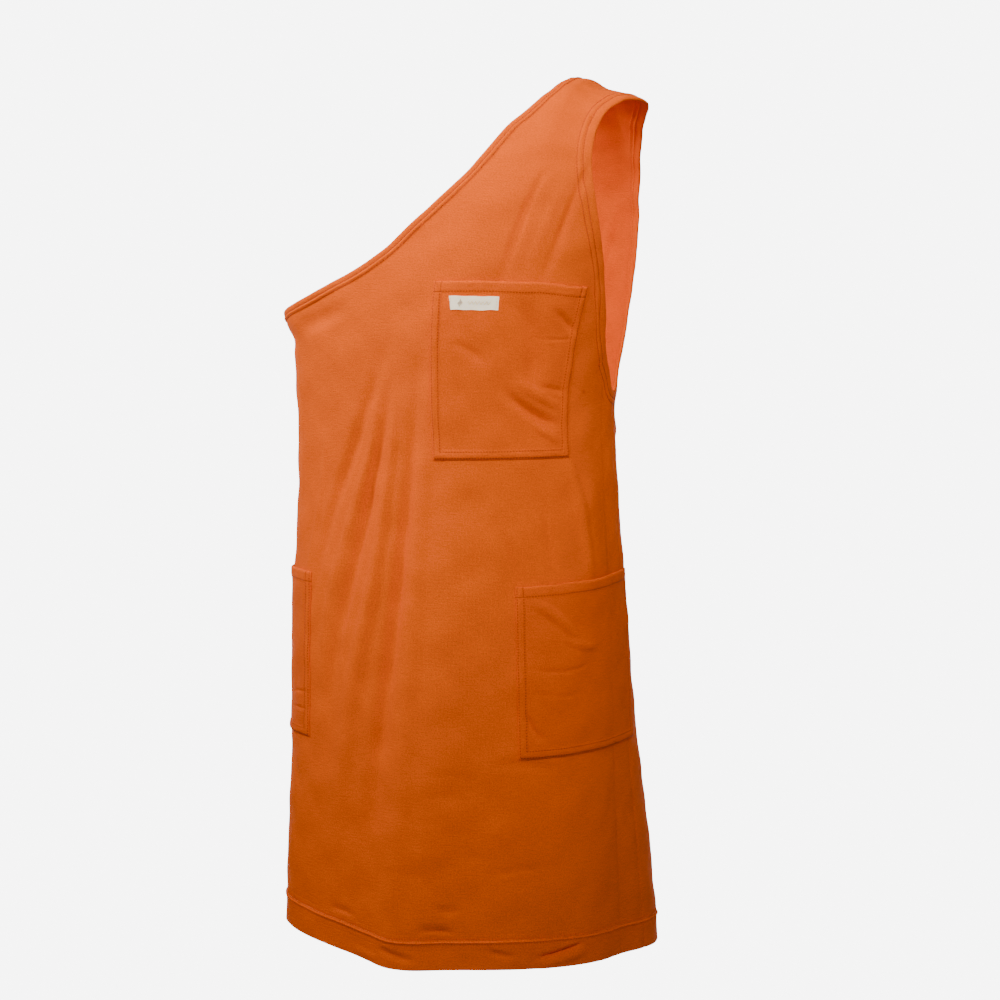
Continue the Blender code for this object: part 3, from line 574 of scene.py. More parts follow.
def row_fractions(first_rows, first_share):
    """Places of the rows along half an edge: the first ones even, the others closer near the shoulder."""
    first = np.linspace(0.0, first_share, first_rows + 1)[:-1]
    strap = 1.0 - (1.0 - np.linspace(0.0, 1.0, STRAP_ROWS + 1))**STRAP_CROWDING
    return np.concatenate((first, first_share + (1.0 - first_share) * strap))


def opening_edge(front_rows, back_rows, fractions):
    """An opening's whole edge: up the front from its side seam and down the back to the same seam."""
    front = read_line(half_edge(front_rows, -1), fractions)
    back = read_line(half_edge(back_rows, 1), fractions)
    return np.concatenate((front, back[::-1][1:]))


def inset(edge, distance):
    """A whole edge moved into the cloth by a distance, square to itself and along the surface.

    The move in the surface's own plane is solved for a change of turn and path by its first fundamental form.
    """
    turn, path = edge[:, 0], edge[:, 1]
    loop = body_surface(turn, path)[:-1]
    tangent = np.roll(loop, -1, axis=0) - np.roll(loop, 1, axis=0)
    tangent = np.concatenate((tangent, tangent[:1]))
    inward = np.cross(tangent, outward(body_surface, turn, path))
    hand = -1.0 if starts_at_left(edge) else 1.0
    inward *= hand * distance / np.linalg.norm(inward, axis=1, keepdims=True)
    along_turn, along_path = slopes_of(body_surface, turn, path)
    turn_turn = (along_turn**2).sum(-1)
    path_path = (along_path**2).sum(-1)
    turn_path = (along_turn * along_path).sum(-1)
    by_turn = (along_turn * inward).sum(-1)
    by_path = (along_path * inward).sum(-1)
    scale = turn_turn * path_path - turn_path**2
    turn_move = (by_turn * path_path - by_path * turn_path) / scale
    path_move = (by_path * turn_turn - by_turn * turn_path) / scale
    moved = edge + np.stack((turn_move, path_move), -1)
    moved[-1] = from_other_side(moved)
    return moved


def panel_edge(edge, side):
    """The half of an inset edge that belongs to one panel, drawn back by half of each seam's gap."""
    middle = len(edge) // 2
    half = edge[:middle + 1].copy() if side < 0 else edge[middle:][::-1].copy()
    half[0, 0] += (SEAM_GAP if starts_at_left(edge) else -SEAM_GAP) / 2.0 / ROUND_RADIUS
    near = slice(middle - 3, middle + 4)
    half[-1, 1] = side * SEAM_GAP / 2.0
    half[-1, 0] = np.interp(half[-1, 1], edge[near, 1], edge[near, 0])
    return half


def hem_level(turn, side):
    """The lower edge's level for a turn on one side of the body."""
    around = np.degrees(turn) if side < 0 else -np.degrees(turn)
    return curve(HEM_LINE, np.mod(around, 360.0))[..., 0]


def around_lengths(turn, side):
    """Lengths round the body at the hem, for the even spacing of seam puckers and stitches."""
    path = side * (RIDGE_LEVEL - hem_level(turn, side))
    return lengths_along(body_surface(turn, path))


# Cloth


def panel_grid(side, sizes):
    """Turns and paths of a panel's points, row by row from the hem to the shoulder seam, and its empty cells.

    The first columns end at the neckline under the bare arm. The others go on up the strap.
    """
    neck = opening_edge(NECK_FRONT, NECK_BACK, row_fractions(UNDERARM_COLUMNS, UNDERARM_SHARE))
    armhole = opening_edge(ARMHOLE_FRONT, ARMHOLE_BACK, row_fractions(0, 0.0))
    neck = panel_edge(inset(neck, sizes.neck_width - BINDING_OVERLAP), side)
    armhole = panel_edge(inset(armhole, sizes.armhole_width - BINDING_OVERLAP), side)
    across = np.linspace(0.0, 1.0, PANEL_COLUMNS - UNDERARM_COLUMNS + 1)[:, None]
    strap = neck[UNDERARM_COLUMNS:, None, :] * (1.0 - across) + armhole[:, None, :] * across
    turns, top = np.concatenate((neck[:UNDERARM_COLUMNS], strap[0])).T

    hem = side * (RIDGE_LEVEL - hem_level(turns, side))
    seam = sizes.hem_height + np.linspace(-HEM_BAND, HEM_BAND, HEM_BAND_ROWS)
    heights = np.concatenate((np.linspace(0.0, seam[0] - HEM_BAND_GAP, 7), seam))
    rows = [hem - side * height for height in heights]
    start = hem - side * (seam[-1] + HEM_BAND_GAP)
    rows += [start + (top - start) * part for part in np.linspace(0.0, 1.0, BODY_ROWS + 1)]
    body = np.stack((np.broadcast_to(turns, (len(rows), len(turns))), np.array(rows)), -1)

    beside = np.repeat(strap[1:, :1], UNDERARM_COLUMNS, axis=1)
    grid = np.concatenate((body, np.concatenate((beside, strap[1:]), 1)))
    empty = np.zeros((len(grid) - 1, PANEL_COLUMNS), bool)
    empty[len(body) - 1:, :UNDERARM_COLUMNS] = True
    return grid, empty


def shell(name, grid, height, wall, material, closed=False, empty=None, taper=None, seams=None):
    """A thin shell of cloth on a grid of turns and paths.

    Its outer face is the worn surface plus height along the normal, and its inner face lies a wall below.
    Border edges, which only one outer cell has, get a rim. Its UV map is in metres: round the body and up it.
    Seams are kept as attributes in metres: "edge" and "mouth" across the needle rows, "run" along them.
    """
    turn, path = grid[..., 0], grid[..., 1]
    middle = cloth_surface(turn, path)
    normal = outward(cloth_surface, turn, path)
    outer = middle + normal * np.broadcast_to(height, turn.shape)[..., None]
    thickness = np.broadcast_to(wall if taper is None else wall * taper, turn.shape)
    inner = outer - normal * thickness[..., None]

    rows, columns = turn.shape
    index = np.arange(rows * columns).reshape(rows, columns)
    below = index if closed else index[:-1]
    above = np.roll(index, -1, axis=0) if closed else index[1:]
    cells = np.stack((below[:, :-1], below[:, 1:], above[:, 1:], above[:, :-1]), -1)
    cells = cells.reshape(-1, 4) if empty is None else cells[~empty]
    used, faces = np.unique(cells, return_inverse=True)
    faces = faces.reshape(-1, 4)
    count = len(used)
    edges = np.stack((faces, np.roll(faces, -1, axis=1)), -1).reshape(-1, 2)
    border = edges[~np.isin(edges[:, 0] * count + edges[:, 1], edges[:, 1] * count + edges[:, 0])]
    rim = np.stack((border[:, 1], border[:, 0], border[:, 0] + count, border[:, 1] + count), -1)
    all_faces = np.concatenate((faces, faces[:, ::-1] + count, rim))
    points = np.concatenate((outer.reshape(-1, 3)[used], inner.reshape(-1, 3)[used]))

    side = facing_side(turn, path)
    u = np.where(side < 0.0, turn, 2.0 * np.pi - turn) * ROUND_RADIUS
    v = RIDGE_LEVEL - np.abs(path)
    flat = np.stack((u, v), -1).reshape(-1, 2)[used]
    piece = new_mesh(name, points, all_faces, material, np.concatenate((flat, flat)))
    for key, value in (seams or {}).items():
        value = np.broadcast_to(value, turn.shape).reshape(-1)[used]
        layer = piece.data.attributes.new(key, "FLOAT", "POINT")
        layer.data.foreach_set("value", np.concatenate((value, value)).astype(np.float32))
    return piece


def new_mesh(name, points, faces, material, flat=None):
    """A mesh object from arrays of points and of faces, smooth but for edges sharper than 50 degrees."""
    mesh = bpy.data.meshes.new(name)
    mesh.from_pydata(points.tolist(), [], faces.tolist())
    if flat is not None:
        layer = mesh.uv_layers.new(name="cloth")
        corners = np.empty(len(mesh.loops), np.int32)
        mesh.loops.foreach_get("vertex_index", corners)
        layer.data.foreach_set("uv", flat[corners].astype(np.float32).ravel())
    mesh.materials.append(material)
    mesh.shade_smooth()
    mesh.set_sharp_from_angle(angle=np.radians(50.0))
    piece = bpy.data.objects.new(name, mesh)
    bpy.context.scene.collection.objects.link(piece)
    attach(piece, "root")
    return piece


def groove(offset):
    """The dip that a row of stitches draws into the cloth, 1 deep, as a soft ridge turned over."""
    return bump(offset, GROOVE_HALF)


def pucker(length, pitch):
    """Small gathers between stitches: 1 at a stitch's middle and -1 at its hole, a cosine of the length."""
    return np.cos(2.0 * np.pi * length / pitch)


def doubled_hem(up, sizes):
    """1 in the turned hem, 0 above it, and a smooth step at its seam."""
    return smoothstep((sizes.hem_height - up) / HEM_STEP + 0.5)


def panel_height(grid, side, sizes):
    """Outer face of a panel: half its wall, the hem's rise below its seam, and dips where seams lie.

    The hem's dip makes room for the stitched tunnel that lies in it, and the side seams draw their edges in.
    """
    turn, path = grid[..., 0], grid[..., 1]
    up = RIDGE_LEVEL - np.abs(path) - hem_level(turn, side)
    height = sizes.panel_wall / 2.0 + sizes.hem_rise * doubled_hem(up, sizes)
    height = height - HEM_DIP * bump(up - sizes.hem_height, HEM_DIP_HALF)
    edge = np.arange(turn.shape[1])
    cells = np.minimum(edge, edge[::-1])
    seam = np.where(np.arange(turn.shape[0])[:, None] < len(grid) - STRAP_ROWS, 1.0, 0.0)
    return height - SIDE_SEAM_DIP * seam * (1.0 - smoothstep(cells / SIDE_SEAM_CELLS))


def make_panel(name, node, side, sizes, material):
    """The front or the back, as one shell from hem to shoulder seam."""
    grid, empty = panel_grid(side, sizes)
    if side > 0:
        grid, empty = grid[:, ::-1], empty[:, ::-1]
    height = panel_height(grid, side, sizes)
    up = RIDGE_LEVEL - np.abs(grid[..., 1]) - hem_level(grid[..., 0], side)
    doubled = 1.0 + HEM_DOUBLE_SHARE * doubled_hem(up, sizes)
    piece = shell(name, grid, height, sizes.panel_wall, material, empty=empty, taper=doubled)
    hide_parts(node)
    return piece


def hem_seam_turns(side, sizes):
    """Turns at even lengths along the hem, from one side seam to the other, and those lengths."""
    bottom = panel_grid(side, sizes)[0][0]
    fine = np.linspace(bottom[0, 0], bottom[-1, 0], 800)
    lengths = around_lengths(fine, side)
    wanted = np.linspace(0.0, lengths[-1], int(lengths[-1] / SEAM_CELL))
    return np.interp(wanted, lengths, fine), wanted


def make_hem_seam(name, side, sizes, material):
    """The twin-needle tunnel that holds the hem: a raised cord between two rows, gathered at each stitch.

    Across it, with d the distance from its middle, the height is a cos^2 ridge, less a cos^2 dip at each
    needle row. The gathers fade as they leave the rows, and the long edges sink under the panel.
    """
    turns, lengths = hem_seam_turns(side, sizes)
    across = np.linspace(-HEM_SEAM_HALF, HEM_SEAM_HALF, HEM_SEAM_ROWS)
    level = hem_level(turns, side) + sizes.hem_height
    path = side * (RIDGE_LEVEL - (level[None, :] + across[:, None]))
    grid = np.stack((np.broadcast_to(turns, path.shape), path), -1)
    d = across[:, None]
    base = sizes.panel_wall / 2.0 + sizes.hem_rise * smoothstep(-d / HEM_STEP + 0.5)
    gather = pucker(lengths, sizes.stitch_pitch)[None, :]
    wander = 1.0 + 0.25 * np.sin(lengths * 97.0) * np.sin(lengths * 41.0 + 1.0)
    ridge = HEM_RIDGE * bump(d, HEM_RIDGE_HALF) * (1.0 + 0.20 * gather)
    rows = sum(groove(d - needle) for needle in HEM_NEEDLES)
    beside = bump(d - HEM_GATHER_PLACE, 0.0040) + 0.6 * bump(d + HEM_GATHER_PLACE, 0.0035)
    sink = HEM_SINK * smoothstep((np.abs(d) - HEM_SINK_START) / HEM_SINK_RUN)
    height = base + ridge - HEM_GROOVE * rows + HEM_GATHER * gather * wander * beside - sink
    seams = {"edge": np.broadcast_to(d, path.shape), "run": np.broadcast_to(lengths, path.shape)}
    if side > 0:
        grid, height = grid[:, ::-1], height[:, ::-1]
        seams = {key: value[:, ::-1] for key, value in seams.items()}
    piece = shell(name, grid, height, HEM_SEAM_WALL, material, seams=seams)
    return piece


def make_binding(name, node, rows, width, wall, needles, sizes, material):
    """A folded strip that closes an opening all round, with its needle rows and gathers.

    Across it, both long edges round off as quarter circles do, and it swells before and between the rows. Its
    columns lie closest at the fold.
    """
    coarse = opening_edge(*rows, np.linspace(0.0, 1.0, 200))
    length = lengths_along(body_surface(coarse[:, 0], coarse[:, 1]))[-1]
    count = int(length / 2.0 / BINDING_CELL)
    edge = opening_edge(*rows, np.linspace(0.0, 1.0, count + 1))
    share = np.concatenate((np.linspace(0.0, 0.16, 5)[:-1]**1.3, np.linspace(0.16, 0.9, 10)[:-1],
                            (0.9, 0.95, 1.0)))
    grid = np.stack([inset(edge, width * part) for part in share], 1)[:-1]
    along = lengths_along(body_surface(edge[:, 0], edge[:, 1]))[:-1, None]
    d = (share * width)[None, :]
    fold = wall / 2.0
    rounded = quarter_round(d / fold)
    inner = quarter_round((width - d) / BINDING_INNER_ROUND)
    gather = pucker(along, sizes.stitch_pitch)
    rows_dip = sum(groove(d - needle) for needle in needles)
    swell = BINDING_SWELL * bump(d - sum(needles) / 2.0, abs(needles[1] - needles[0]) * 0.5)
    swell = swell + BINDING_EDGE_SWELL * bump(d - needles[0] / 2.0, needles[0] * 0.6)
    gathers = BINDING_GATHER * gather * bump(d - sum(needles) / 2.0, width * 0.5)
    uneven = BINDING_UNEVEN * np.sin(along * 61.0) * np.sin(along * 23.0 + 2.0)
    relief = swell - BINDING_GROOVE * rows_dip + gathers + uneven
    top = fold * rounded * (0.35 + 0.65 * inner) + relief * rounded * inner
    wall_share = np.maximum(2.0 * rounded * (0.45 + 0.55 * inner), 0.12) * 0.5
    seams = {"edge": d, "run": along}
    piece = shell(name, grid, top, wall, material, closed=True, taper=wall_share, seams=seams)
    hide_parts(node)
    return piece


def grid_lengths(points, axis):
    """Distance of each of a grid's points from the first, along its row or its column."""
    steps = np.linalg.norm(np.diff(points, axis=axis), axis=2)
    return np.concatenate((np.zeros_like(np.take(steps, [0], axis)), np.cumsum(steps, axis)), axis)


def pocket_blend(name, across, up):
    """Turn, path and lift of a pocket's points, at shares of the way across and up.

    Turn and level blend those of the four corners bilinearly. The lift grows as a smooth step up to the mouth
    and as the sine of half a turn across it.
    """
    corners = POCKETS[name]
    turn, level = ((ends[0] + (ends[1] - ends[0]) * across) * up
                   + (ends[2] + (ends[3] - ends[2]) * across) * (1.0 - up)
                   for ends in (np.radians(corners[:4]), corners[4:8]))
    lift = corners[10] * smoothstep((up - 1.0) / POCKET_LIFT_SHARE + 1.0) * np.sin(np.pi * across)
    return turn, level - RIDGE_LEVEL, lift


def pocket_place(name, columns, rows):
    """A pocket's grid of turns and paths from foot to mouth, its lift, and its lengths across and up."""
    across = np.linspace(0.0, 1.0, columns + 1)[None, :]
    up = np.linspace(0.0, 1.0, rows + 1)[:, None]
    turn, path, lift = pocket_blend(name, across, up)
    points = body_surface(turn, path)
    return np.stack((turn, path), -1), lift, grid_lengths(points, 1), grid_lengths(points, 0)


def pocket_top(sizes):
    """Height of the space just over a pocket's cloth."""
    return sizes.panel_wall / 2.0 + LAID_GAP + sizes.pocket_wall + LAID_GAP


def make_pocket(name, sizes, material):
    """A patch pocket: turned-in edges with two needle rows, a turned mouth with one, and gathers.

    Its edges round off, the doubled cloth inside the rows stands higher, and its mouth lifts in the middle.
    """
    grid, lift, first, foot = pocket_place(name, *POCKETS[name][8:10])
    mouth = foot[-1:] - foot
    side_way = np.minimum(first, first[:, -1:] - first)
    edge = np.minimum(side_way, foot)
    rounded = quarter_round(np.minimum(np.minimum(side_way, mouth) / POCKET_ROUND, foot / POCKET_FOOT_ROUND))
    doubled = 1.0 - smoothstep((edge - POCKET_NEEDLES[1]) / POCKET_STEP)
    hem = 1.0 - smoothstep((mouth - sizes.pocket_hem) / POCKET_STEP)
    dips = sum(groove(edge - needle) for needle in POCKET_NEEDLES) + groove(mouth - sizes.pocket_hem)
    along = np.where(side_way < foot, foot, first)
    gather = pucker(along, sizes.stitch_pitch) * doubled
    gather = gather + pucker(first, sizes.stitch_pitch) * hem * (1.0 - doubled)
    slack = POCKET_SLACK * np.sin(along * 190.0 + 0.7) * bump(edge - 0.0045, 0.0040)
    wall = sizes.pocket_wall * (POCKET_FLAT_SHARE + (1.0 - POCKET_FLAT_SHARE) * rounded)
    height = sizes.panel_wall / 2.0 + LAID_GAP + wall + POCKET_RISE * np.maximum(doubled, hem) * rounded
    height = height - POCKET_GROOVE * dips + POCKET_GATHER * gather + slack + lift
    seams = {"edge": edge, "mouth": mouth, "run": np.where(mouth < edge, first, along)}
    piece = shell(name + "_cloth", grid, height, wall, material, seams=seams)
    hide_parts(name)
    return piece


def label_length():
    """The label's length, from its turns."""
    return np.radians(LABEL_TURNS[0] - LABEL_TURNS[1]) * ROUND_RADIUS


def make_label(sizes, material):
    """The woven label: a tape with turned, leaning ends and long edges that sway and stand off a little."""
    turns = np.radians(np.linspace(*LABEL_TURNS, 61))
    across = np.linspace(0.0, 1.0, 61)[None, :]
    up = np.linspace(0.0, 1.0, 21)[:, None]
    sway = 0.00030 * np.sin(7.0 * across + 0.8) + 0.00018 * np.sin(17.0 * across)
    levels = LABEL_LEVELS[0] + (LABEL_LEVELS[1] - LABEL_LEVELS[0]) * up + sway * (1.0 - 0.4 * up)
    lean = np.radians(across * 0.25 + (1.0 - across) * 0.90) * (up - 1.0)
    grid = np.stack((turns[None, :] + lean, levels - RIDGE_LEVEL), -1)
    end = np.minimum(across, 1.0 - across) * label_length()
    rounded = quarter_round(end / LABEL_ROUND)
    turned = 1.0 - smoothstep((end - LABEL_TURNED) / 0.0010)
    wave = LABEL_WAVE * np.sin(np.pi * 3.0 * across + 0.6) * np.abs(2.0 * up - 1.0)**1.5
    height = pocket_top(sizes) + LABEL_STAND * (0.3 + 0.7 * rounded) + LABEL_TURNED_RISE * turned + wave
    height = height - LABEL_GROOVE * groove(end - LABEL_STITCH_PLACE)
    piece = shell("label_tape", grid, height, LABEL_WALL, material)
    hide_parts("chest_label")
    return piece


# Sewing


def stitches(name, lines, sizes, material, pitch=None):
    """Lock stitches along lines of (turn, path, height) points, as one mesh of small bent threads.

    Each thread runs for most of the pitch, arches as sin(pi t) over the cloth and dips into it at both ends,
    and its section is a ring of four points whose radius thins to two thirds at the ends.
    """
    pitch = pitch or sizes.stitch_pitch
    starts, tangents, normals = [], [], []
    for turn, path, height in lines:
        points = cloth_surface(turn, path)
        normal = outward(cloth_surface, turn, path)
        points = points + normal * height[:, None]
        lengths = lengths_along(points)
        count = max(int(lengths[-1] / pitch), 1)
        at = (np.arange(count) + 0.5) * lengths[-1] / count
        starts.append(read_columns(at, lengths, points))
        tangents.append(read_columns(at + 1e-4, lengths, points) - read_columns(at - 1e-4, lengths, points))
        normals.append(read_columns(at, lengths, normal))
    place, tangent, up = (np.concatenate(group) for group in (starts, tangents, normals))
    tangent /= np.maximum(np.linalg.norm(tangent, axis=1, keepdims=True), 1e-12)
    up /= np.linalg.norm(up, axis=1, keepdims=True)
    sideways = np.cross(up, tangent)

    rings, sides = 5, 4
    t = np.linspace(0.0, 1.0, rings)
    radius = sizes.thread_width / 2.0 * (2.0 / 3.0 + np.sin(np.pi * t) / 3.0)
    angle = 2.0 * np.pi * (np.arange(sides) + 0.5) / sides
    along = (t - 0.5) * pitch * THREAD_RUN_SHARE
    lift = sizes.thread_width * (THREAD_ARCH * np.sin(np.pi * t) - THREAD_SINK)
    out = lift[:, None] + radius[:, None] * np.sin(angle)
    across = radius[:, None] * np.cos(angle)
    points = (place[:, None, None, :] + tangent[:, None, None, :] * along[None, :, None, None]
              + up[:, None, None, :] * out[None, :, :, None]
              + sideways[:, None, None, :] * across[None, :, :, None])

    ring, step = np.meshgrid(np.arange(rings - 1), np.arange(sides), indexing="ij")
    after = (step + 1) % sides
    quads = np.stack((ring * sides + step, ring * sides + after, (ring + 1) * sides + after,
                      (ring + 1) * sides + step), -1).reshape(-1, 4)
    caps = np.array((np.arange(sides)[::-1], np.arange(sides) + (rings - 1) * sides))
    faces = np.concatenate((quads, caps))[None] + np.arange(len(place))[:, None, None] * rings * sides
    piece = new_mesh(name, points.reshape(-1, 3), faces.reshape(-1, 4), material)
    return piece


def binding_lines(rows, wall, needles):
    """A binding's needle rows, all round the opening."""
    edge = opening_edge(*rows, np.linspace(0.0, 1.0, NEEDLE_POINTS))
    lines = []
    for needle in needles:
        line = inset(edge, needle)
        lines.append((line[:, 0], line[:, 1], np.full(len(line), wall / 2.0 - NEEDLE_SINK)))
    return lines


def hem_lines(side, sizes):
    """The hem's two needle rows on one panel."""
    turns = hem_seam_turns(side, sizes)[0][::2]
    lines = []
    for needle in HEM_NEEDLES:
        path = side * (RIDGE_LEVEL - (hem_level(turns, side) + sizes.hem_height + needle))
        lines.append((turns, path, np.full(len(turns), sizes.panel_wall / 2.0 + LAID_GAP)))
    return lines


def pocket_lines(name, sizes):
    """A pocket's needle rows: two down its sides and along its foot, and one along its mouth."""
    first, foot = pocket_place(name, POCKET_WAY_CELLS, POCKET_WAY_CELLS)[2:]
    width, depth = first[:, -1].mean(), foot[-1].mean()
    seat = pocket_top(sizes)

    def place(u, v):
        """Turn, path and height at shares of the way across and up."""
        turn, path, lift = pocket_blend(name, *np.broadcast_arrays(u, v))
        return turn, path, seat + lift

    way = np.linspace(0.0, 1.0, POCKET_WAY_POINTS)
    lines = []
    for needle in POCKET_NEEDLES:
        u, v = needle / width, needle / depth
        lines.append(place(u, 1.0 - (1.0 - v) * way))
        lines.append(place(u + (1.0 - 2.0 * u) * way, v))
        lines.append(place(1.0 - u, v + (1.0 - v) * way))
    inner = POCKET_NEEDLES[0] / width
    lines.append(place(inner + (1.0 - 2.0 * inner) * way, 1.0 - sizes.pocket_hem / depth))
    return lines


def label_lines(sizes):
    """A short row of stitches down each end of the label."""
    level = np.linspace(LABEL_LEVELS[0] + 0.0008, LABEL_LEVELS[1] - 0.0008, 30)
    seat = pocket_top(sizes) + LABEL_THREAD_LIFT
    share = LABEL_STITCH_PLACE / label_length()
    span = LABEL_TURNS[1] - LABEL_TURNS[0]
    ends = [LABEL_TURNS[0] + span * share, LABEL_TURNS[0] + span * (1.0 - share)]
    return [(np.full(30, np.radians(end)), level - RIDGE_LEVEL, np.full(30, seat)) for end in ends]


def mark_lines(sizes):
    """A made-up woven mark on the label: a small lozenge of level threads and a zigzag beside it."""
    middle = sum(LABEL_LEVELS) / 2.0
    seat = pocket_top(sizes) + MARK_LIFT
    lines = []
    for step in range(-LOZENGE_ROWS, LOZENGE_ROWS + 1):
        half = LOZENGE_HALF * (1.0 - abs(step) / (LOZENGE_ROWS + 1.0)) / ROUND_RADIUS
        turn = np.radians(LOZENGE_TURN) + np.linspace(half, -half, 8)
        lines.append((turn, np.full(8, middle + step * LOZENGE_STEP - RIDGE_LEVEL), np.full(8, seat)))
    turn = np.radians(np.linspace(*ZIGZAG_TURNS, 90))
    teeth = np.linspace(0.0, ZIGZAG_TEETH, 90) % 1.0
    level = middle + ZIGZAG_HEIGHT * (np.abs(teeth - 0.5) * 4.0 - 1.0)
    lines.append((turn, level - RIDGE_LEVEL, np.full(90, seat)))
    return lines


# Materials


def add_node(tree, kind, settings=None, links=None):
    """A node of one kind with its settings, and its inputs by name or number set to values or linked."""
    node = tree.nodes.new(kind)
    for key, value in (settings or {}).items():
        setattr(node, key, value)
    for key, value in (links or {}).items():
        if isinstance(value, bpy.types.NodeSocket):
            tree.links.new(value, node.inputs[key])
        else:
            node.inputs[key].default_value = value
    return node


def new_material(name):
    """A material with nodes, its tree and its shader."""
    material = bpy.data.materials.new(name)
    material.use_nodes = True
    return material, material.node_tree, material.node_tree.nodes["Principled BSDF"]


def set_inputs(shader, values):
    """Values on a shader's own inputs, by their names."""
    for key, value in values.items():
        shader.inputs[key].default_value = value


def tint(colour, *factors):
    """A colour with its channels multiplied by one factor or by three, up to 1, and a full alpha."""
    pairs = zip(colour[:3], factors * (3 // len(factors)))
    return tuple(min(channel * factor, 1.0) for channel, factor in pairs) + (1.0,)


